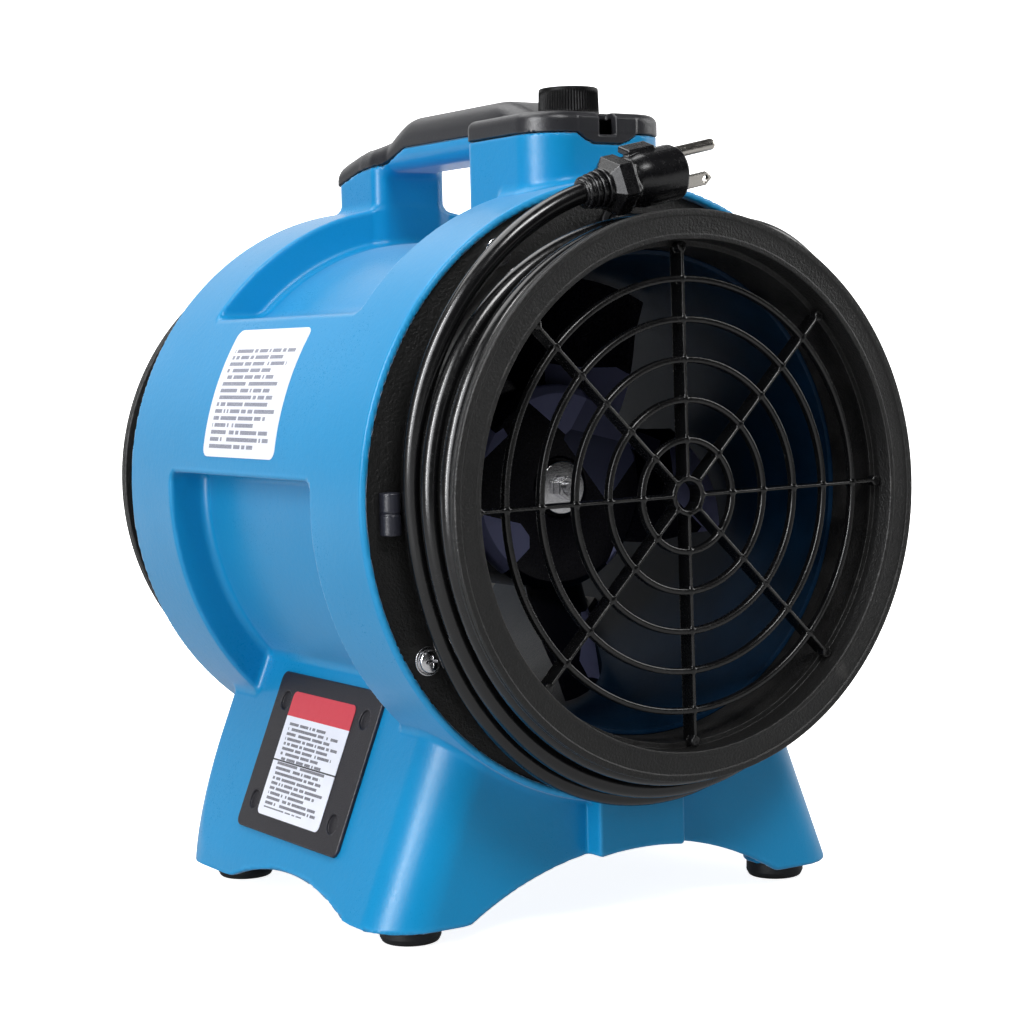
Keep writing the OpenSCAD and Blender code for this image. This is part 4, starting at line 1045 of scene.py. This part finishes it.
def hub():
    y0, y1 = HUB_Y
    outline = rounded_outline([
        (5.2, y0 + 1.2, 0), (11.5, y0 + 1.2, 0.5), (12.2, y0, 0.6), (HUB_R - 3.5, y0, 0.3),
        (HUB_R, y0 + 3.5, 3.6), (HUB_R, y1, 0.8), (HUB_R - 2.5, y1, 0.5),
        (HUB_R - 2.5, y0 + 3.6, 2), (9, y0 + 3.6, 0.8), (9, y1 - 16, 0.6), (5.2, y1 - 16, 0.3),
        (5.2, y0 + 1.2, 0)])[:-1]
    p, faces = lathe(outline, 160)
    p = moved(p, along_y(0))
    return p, turn_faces_out(p, faces)


def blade_mesh(turn):
    """One pitched, cambered blade with a rounded nose and a thin tail."""
    across, around = 26, 40
    chord, bend = 56.0, 70.0
    p = []
    for i in range(across):
        u = i / (across - 1)
        rho = 37.5 + (TIP_R - 0.3 - 37.5) * u
        pitch = math.radians(56 - 4 * u)
        for k in range(around):
            t = 2 * math.pi * k / around
            s = 0.5 * (1 - math.cos(t))
            lean = 1.0 if t < math.pi else -1.0
            thick = 1.75 * (2.6 * math.sqrt(max(s, 0)) * (1 - s) ** 1.1 + 0.28 * (1 - abs(2 * s - 1) ** 6))
            thick *= 1.15 - 0.35 * u
            c = (s - 0.5) * chord * (0.93 + 0.07 * math.sin(math.pi * min(1, u * 1.4)))
            h = bend * math.cos(c / bend) - 67.2 + lean * thick * 0.62
            y = c * math.cos(pitch) - h * math.sin(pitch) - 29
            side = c * math.sin(pitch) + h * math.cos(pitch)
            x = math.sqrt(max(rho ** 2 - side ** 2, 1.0))
            y = min(max(y, HUB_Y[0] + 1.2), HUB_Y[1] - 0.3)
            p.append((x, y, side))
    p = np.array(p)
    a = math.radians(turn)
    x, z = p[:, 0] * math.cos(a) - p[:, 2] * math.sin(a), p[:, 0] * math.sin(a) + p[:, 2] * math.cos(a)
    p = np.stack([x, p[:, 1], z + AXIS], 1)
    return p, turn_faces_out(p, tube_faces(across, around))


def impeller():
    p, faces = join([hub()] + [blade_mesh(360 * i / BLADES) for i in range(BLADES)])
    face_piece("impeller_moulding", p, faces, "impeller_plastic", "impeller", "rotor", sharp=45)
    front = HUB_Y[0]
    washer = rounded_outline([(2.7, front - 1.5, 0), (10.3, front - 1.5, 0.5), (10.3, front, 0.15),
                              (2.7, front, 0)])
    turned_piece("impeller_washer_ring", washer, along_y(0), "screw_steel", "impeller_washer", 96,
                 body="rotor")

    def nut(p):
        x, y, z = p.T
        flats = [np.abs(x * math.cos(a) + y * math.sin(a)) for a in (0, math.pi / 3, -math.pi / 3)]
        body = both(np.max(flats, axis=0) - 4.0, np.abs(z - 2) - 2, 0.25)
        body = both(body, 0.8 * (np.hypot(x, y) - 4.35 - 0.9 * np.minimum(z, 4 - z)), 0.1)
        return less(body, np.hypot(x, y) - 2.55, 0.2)

    mesh = skin(nut, (-4.7, -4.7, 0), (4.7, 4.7, 4), 0.22, relax=1)
    quad_piece("impeller_nut_hex", copies(mesh, [along_y(front - 5.6)]), "screw_steel",
               "impeller_nut", "rotor")


# ---- knob

KNOB_RISE = 0.8                    # above the CAD knob


def speed_knob():
    low, high = mm_box("speed_knob")
    z0, z1, ribs = low[2], high[2] + KNOB_RISE, 66
    outline = rounded_outline([
        (3.2, z0 + 3.4, 0), (7.6, z0 + 3.2, 0.3), (7.6, z0, 0.2), (11.6, z0, 0.5),
        (11.55, z0 + 1.0, 0.3), (11.3, z1 - 1.3, 0.3), (11.2, z1, 0.7), (9.3, z1, 0.4),
        (8.9, z1 - 0.5, 0.3), (3.2, z1 - 0.5, 0.4), (3.2, z0 + 3.4, 0)])[:-1]

    def ripple(r, h, angles):
        fade = np.clip((h - z0 - 1.1) / 0.3, 0, 1) * np.clip((z1 - 1.4 - h) / 0.3, 0, 1)
        if r < 10.5 or fade <= 0:
            return np.full(len(angles), r)
        return r - 0.42 * fade * np.abs(np.sin(0.5 * ribs * angles)) ** 1.4

    body = []
    for (r0, h0), (r1, h1) in zip(outline, outline[1:] + outline[:1]):
        steps = 10 if abs(h1 - h0) > 3 and r0 > 10 else 1
        body += [(r0 + (r1 - r0) * k / steps, h0 + (h1 - h0) * k / steps) for k in range(steps)]
    place = shift(0, KNOB_Y, 0)
    turned_piece("speed_knob_cap", body, place, "black_plastic", "speed_knob", ribs * 8, ripple,
                 body="control", sharp=35)

    def inlay(p):
        x, y, z = p.T
        disc = both(np.hypot(x, y) - 8.9, np.abs(z - z1 + 1.3) - 0.75, 0.25)
        line = block(x, y, z, 0, -4.9, z1 - 0.5, 0.55, 3.4, 0.25, 0.2)
        return less(disc, line, 0.1)

    mesh = skin(inlay, (-9, -9, z1 - 2.1), (9, 9, z1 - 0.5), 0.28, relax=1)
    quad_piece("speed_knob_disc", copies(mesh, [place]), "black_plastic", "speed_knob", "control")


# ---- cord and plug

CORD_R = 3.7
CORD_A0 = 95.0
ENTRY_R = 99.2                     # from the duct axis to the hole that the cord comes out of
CORD_END = (112.9, 107.9)          # radius and angle where the cord meets the plug
CORD_END_Y = -118.0
LIFT = 0.22                        # last part of a turn, over which the cord rises to the plug
DIVE = 0.27                        # first part of a turn, over which it comes out to its lane
LANE_Y = -129.6
CORD_TURNS = 2 + (CORD_A0 - CORD_END[1] + 360) / 360


def blend(a, b, u):
    return a + (b - a) * ease(u)


def cord_point(t):
    """Centre of the wound cord after t turns from the end panel."""
    a = math.radians(CORD_A0 - 360 * t)
    rise = (t - CORD_TURNS + LIFT) / LIFT
    sag = max(0, -math.sin(a)) ** 2.4 * (2.5 + 6.3 * ease(t - 0.3) + 5.6 * ease(t - 1.3))
    step = 7.8 * ease((t - 0.6) / 0.3) * ease((math.sin(a + math.radians(65)) - 0.5) / 0.35)
    slack = 1.5 * ease(t - 0.6) * max(0, math.cos(a - math.radians(145))) ** 6
    r = blend(blend(ENTRY_R, 97, t / 0.07) + sag + step + slack, CORD_END[0], rise)
    if t < DIVE:
        y = blend(-99.2, LANE_Y, t / DIVE)
    else:
        y = blend(max(LANE_Y, -127.7 + 12 * (t - 0.764)), CORD_END_Y, rise)
    return np.array((r * math.cos(a), y, AXIS + r * math.sin(a)))


def tube_mesh(path, radius, sides):
    """Tube round a path, its sections kept from twisting."""
    path = np.array(path)
    ahead = np.gradient(path, axis=0)
    ahead /= np.linalg.norm(ahead, axis=1)[:, None]
    side = np.cross(ahead[0], (1, 0, 0))
    p = []
    angles = 2 * math.pi * np.arange(sides) / sides
    for i, centre in enumerate(path):
        side = side - ahead[i] * (side @ ahead[i])
        side /= np.linalg.norm(side)
        third = np.cross(ahead[i], side)
        r = radius(i / (len(path) - 1))
        p.append(centre + r * (np.cos(angles)[:, None] * side + np.sin(angles)[:, None] * third))
    p = np.concatenate(p)
    return p, turn_faces_out(p, tube_faces(len(path), sides))


def power_cord():
    steps = 1100
    start = at_angle(CORD_A0 - 3, ENTRY_R, -90.0)
    path = [start, start - (0, 6.5, 0)]
    path += [cord_point(CORD_TURNS * i / steps) for i in range(8, steps + 1)]
    path.append(path[-1] + 1.4 * plug_turn()[:3, 0])

    def radius(u):
        return CORD_R - 0.03 + 0.03 * math.sin(170 * u) * math.sin(23 * u)

    p, faces = tube_mesh(path, radius, 28)
    face_piece("wound_cord", p, faces, "cord_black", "power_cord", sharp=60)


PLUG_YAW, PLUG_PITCH, PLUG_ROLL, PLUG_L = 1.0, 12.0, 20.0, 42.0


def plug_turn():
    turn = (Matrix.Rotation(math.radians(PLUG_YAW), 3, "Z")
            @ Matrix.Rotation(math.radians(-PLUG_PITCH), 3, "Y")
            @ Matrix.Rotation(math.radians(PLUG_ROLL), 3, "X"))
    m = np.eye(4)
    m[:3, :3] = np.array(turn)
    m[:3, 3] = at_angle(CORD_END[1], CORD_END[0], CORD_END_Y)
    return m


def plug_field(p):
    """Moulded plug along local +X: ribbed neck, six-sided grip and oval body."""
    x, y, z = p.T
    r = np.hypot(y, z)
    neck = both(r - np.interp(x, [0, 11], [4.8, 5.8]), np.abs(x - 5.5) - 5.7, 0.4)
    for i in range(4):
        ring = both(r - 5.8 - 0.45 * i, np.abs(x - 1.6 - 2.5 * i) - 0.85, 0.45)
        neck = either(neck, ring, 0.2)
    sides = [np.abs(y * math.cos(a) + z * math.sin(a)) for a in np.radians((30, 90, 150))]
    six = np.max(sides, axis=0)
    grip = both(six - np.interp(x, [10, 12.6, 18, 20], [6.4, 9.5, 9.5, 8.3]),
                np.abs(x - 15.2) - 5.4, 0.5)
    half = 9.3 + 0.35 * ease((x - 21) / 12) - 0.05 * np.maximum(-z, 0)
    swell = 0.9 * (1 - ease((x - 20) / 7))
    body = span(y, z, half, -9.7, 9.7, 7.6, 8.4) + swell
    body = both(body, np.abs(x - 30.7) - 11.3, 1.2)
    thin = both(np.abs(np.abs(y) - 11.6) - 2.9, np.abs(z + 6.6) - 1.9 - 0.04 * (x - 24), 0.9)
    body = less(body, both(thin, np.abs(x - 36.5) - 8.6, 1.0), 0.5)
    fin = block(x, y, z, 28.0, 4.6, 9.7, 6.0, 3.4, 1.3, 0.7)
    body = either(body, fin, 0.8)
    face = both(span(y, z, 7.2, -7.2, 7.2, 5, 5), np.abs(x - PLUG_L) - 0.35, 0.15)
    return either(either(either(neck, grip, 0.5), body, 0.6), face, 0.2)


def plug():
    place = [plug_turn()]
    mesh = skin(plug_field, (-0.3, -11.2, -9.9), (PLUG_L + 0.4, 11.2, 11.4), 0.4)
    quad_piece("plug_moulding", copies(mesh, place), "plug_black", "plug_body")

    def blade(p):
        x, y, z = p[:, 0] - PLUG_L, p[:, 1], p[:, 2] + 2.6
        plan = np.maximum(np.abs(z) - 2.5, np.abs(x - 1) - 12)
        plan = np.maximum(plan, 0.75 * (np.abs(z) + 0.9 * (x - 13.2) + 0.6))
        strip = both(plan, np.abs(np.abs(y) - 6.35) - 0.75, 0.25)
        return less(strip, np.hypot(x - 9.2, z) - 1.2, 0.2)

    mesh = skin(blade, (PLUG_L - 10, -7.2, -6), (PLUG_L + 14.5, 7.2, 1), 0.3, relax=1)
    quad_piece("plug_blade_pair", copies(mesh, place), "nickel_pin", "plug_blades")

    def pin(p):
        x, y, z = p[:, 0] - PLUG_L, p[:, 1], p[:, 2] - 7
        r = np.hypot(y, z)
        rod = both(r - 2.15, np.abs(x - 3.5) - 13.5, 0.2)
        tip = np.sqrt(np.maximum(x - 16.6, 0) ** 2 * 1.2 + r ** 2) - 2.15
        rod = np.where(x > 10, np.maximum(tip, x - 20.5), rod)
        seam = np.maximum(np.abs(y) - 0.45, z + 0.6)
        return less(rod, seam, 0.3)

    mesh = skin(pin, (PLUG_L - 10, -2.5, 4.5), (PLUG_L + 20.5, 2.5, 9.5), 0.26, relax=1)
    quad_piece("plug_ground_tube", copies(mesh, place), "nickel_pin", "plug_ground_pin")


def cord_anchor():
    low, high = mm_box("cord_anchor")
    cx, cy = 0.5 * (low[0] + high[0]), -PANEL_Y - 3.5

    def field(p):
        x, y, z = p[:, 0] - cx, p[:, 1] - cy, p[:, 2]
        r = np.hypot(x, y)
        lower = both(r - 3.5, np.abs(z - low[2] - 3.6) - 3.6, 0.5)
        upper = both(r - 3.5, np.abs(z - high[2] + 3.6) - 3.6, 0.7)
        core = both(r - 3.1, np.abs(z - 0.5 * (low[2] + high[2])) - 7.2, 0.3)
        web = block(x, y, z, 0, 1.75, 0.5 * (low[2] + high[2]), 2.8, 1.74, 7.4, 0.4)
        dimple = np.hypot(r, 0.8 * (z - high[2] - 1.3)) - 2.1
        return less(either(np.minimum(lower, upper), either(core, web, 0.5), 0.15), dimple, 0.3)

    mesh = skin(field, low, high, 0.35)
    quad_piece("cord_anchor_post", mesh, "anchor_plastic", "cord_anchor")


def cord_bush():
    out = rounded_outline([(3.72, 0, 0), (6.0, 0, 0.35), (6.0, 0.78, 0.1), (4.95, 0.78, 0.1),
                           (4.95, 8.5, 0.3), (3.72, 8.5, 0.2), (3.72, 0, 0)])[:-1]
    place = along_y(0)
    place[:3, 3] = at_angle(CORD_A0 - 3, ENTRY_R, -PANEL_Y - 0.8)
    turned_piece("cord_bush_ring", out, place, "grommet_rubber", "cord_grommet", 64)


# ---- parts that keep their CAD shape

def dress_cad_nodes():
    for node, slot in SLOTS.items():
        materials = frame["nodes"][node].data.materials
        materials.clear()
        materials.append(MATS.get(slot, MATS["black_plastic"]))


# ---- studio

def studio():
    """Pale floor that curves up into a wall, and soft lights round the object."""
    floor_p, floor_f = [], []
    back, rise, bend = 5.0, 4.0, 1.6
    profile = [(-6.0, 0.0), (back - bend, 0.0)]
    profile += [(back - bend + bend * math.sin(a), bend - bend * math.cos(a))
                for a in np.linspace(0, math.pi / 2, 24)[1:]]
    profile.append((back, rise))
    turn = Matrix.Rotation(math.radians(-33), 3, "Z")
    for s in (-8.0, 8.0):
        for d, h in profile:
            floor_p.append(turn @ Vector((s, d, h - 0.0004)))
    count = len(profile)
    for i in range(count - 1):
        floor_f.append((i, i + count, i + count + 1, i + 1))
    me = bpy.data.meshes.new("backdrop")
    me.from_pydata([tuple(v) for v in floor_p], [], floor_f)
    me.shade_smooth()
    floor = bpy.data.objects.new("backdrop", me)
    bpy.context.scene.collection.objects.link(floor)
    n = Nodes("backdrop_paper")
    seen = n.add("LightPath").outputs["Is Camera Ray"]
    tone = n.math("MULTIPLY", n.ramp(n.noise(3, 3), 0.3, 0.7, 0.9, 0.93), n.ramp(seen, 0, 1, 0.4, 1))
    height = n.add("SeparateXYZ", {"Vector": n.place}).outputs[2]
    glow = n.ramp(seen, 0, 1, 0, 0.80)
    depth = n.add("VectorMath", {0: n.place, 1: (0.54, 0.84, 0.0)}, operation="DOT_PRODUCT")
    behind = n.ramp(depth.outputs["Value"], 0.12, 0.6, 0.1, 0.9)
    glow = n.math("ADD", glow, n.math("MAXIMUM", behind, n.ramp(height, 0.0, 0.35, 0.1, 0.95)))
    paper = n.add("CombineColor", {"Red": tone, "Green": tone, "Blue": tone}).outputs[0]
    me.materials.append(n.set(Base_Color=paper, Roughness=0.85, Specular_IOR_Level=0.1,
                              Emission_Color=(1, 1, 1), Emission_Strength=glow))

    def area(name, place, target, w, h, power, color=(1, 1, 1)):
        light = bpy.data.lights.new(name, "AREA")
        light.shape, light.size, light.size_y = "RECTANGLE", w, h
        light.energy, light.color = power, color
        ob = bpy.data.objects.new(name, light)
        ob.location = place
        ob.rotation_euler = (Vector(target) - Vector(place)).to_track_quat("-Z", "Y").to_euler()
        bpy.context.scene.collection.objects.link(ob)
        return ob

    mid = (0, 0, 0.16)
    area("left_softbox", (-1.75, -0.55, 0.75), mid, 1.0, 1.5, 29, (0.96, 0.97, 1.0))
    strip = area("corner_strip", (-0.98, -0.2, 0.5), (-0.1, -0.08, 0.08), 0.07, 0.8, 7)
    strip.visible_diffuse = False
    area("front_softbox", (-0.2, -1.7, 1.9), mid, 0.9, 0.6, 30)
    area("right_softbox", (1.8, -0.6, 1.0), mid, 0.7, 1.2, 13)
    area("top_softbox", (-0.3, 0.6, 1.6), mid, 1.5, 1.2, 18)
    studio_world()


def studio_world():
    """Even grey to the camera, past the backdrop; else bright above and behind, dark in front."""
    world = bpy.data.worlds.new("studio")
    world.use_nodes = True
    tree = world.node_tree
    background = tree.nodes["Background"]
    path = tree.nodes.new("ShaderNodeLightPath")
    coord = tree.nodes.new("ShaderNodeTexCoord")

    def lobe(direction, low, high, amount):
        dot = tree.nodes.new("ShaderNodeVectorMath")
        dot.operation = "DOT_PRODUCT"
        tree.links.new(coord.outputs["Generated"], dot.inputs[0])
        dot.inputs[1].default_value = Vector(direction).normalized()
        ramp = tree.nodes.new("ShaderNodeMapRange")
        ramp.interpolation_type = "SMOOTHSTEP"
        for key, value in (("From Min", low), ("From Max", high), ("To Max", amount)):
            ramp.inputs[key].default_value = value
        tree.links.new(dot.outputs["Value"], ramp.inputs["Value"])
        return ramp.outputs[0]

    total = 0.06
    lobes = [lobe((-0.15, 0.75, 0.75), 0.0, 0.95, 0.75), lobe((-0.95, 0.25, 0.15), 0.2, 1.0, 1.1),
             lobe((0.8, 0.5, 0.3), 0.4, 1.0, 0.18)]
    for item in lobes:
        node = tree.nodes.new("ShaderNodeMath")
        for socket, value in zip(node.inputs, (total, item)):
            if isinstance(value, float):
                socket.default_value = value
            else:
                tree.links.new(value, socket)
        total = node.outputs[0]
    mix = tree.nodes.new("ShaderNodeMix")
    tree.links.new(path.outputs["Is Camera Ray"], mix.inputs["Factor"])
    tree.links.new(total, mix.inputs[2])
    mix.inputs[3].default_value = 1.0
    tree.links.new(mix.outputs[0], background.inputs["Strength"])
    bpy.context.scene.world = world


def camera():
    """Long lens in front, to the left and a little above the duct axis."""
    az, el, roll = (math.radians(v) for v in (-32.86, 3.94, -1.26))
    back = Vector((math.sin(az) * math.cos(el), -math.cos(az) * math.cos(el), math.sin(el)))
    right = Vector((math.cos(az), math.sin(az), 0))
    up = back.cross(right)
    across = right * math.cos(roll) + up * math.sin(roll)
    above = up * math.cos(roll) - right * math.sin(roll)
    data = bpy.data.cameras.new("camera")
    data.lens, data.sensor_width = 80.1, 36
    ob = bpy.data.objects.new("camera", data)
    turn = Matrix((across, above, back)).transposed().to_4x4()
    ob.matrix_world = Matrix.Translation(Vector((-0.4931, -0.7785, 0.2109))) @ turn
    bpy.context.scene.collection.objects.link(ob)
    bpy.context.scene.camera = ob


housing()
duct_sleeve()
top_cover()
collars()
grilles()
collar_fasteners()
feet()
access_panel()
labels()
impeller()
speed_knob()
power_cord()
plug()
cord_anchor()
cord_bush()
dress_cad_nodes()
studio()
camera()
bpy.context.scene.view_settings.view_transform = "Standard"
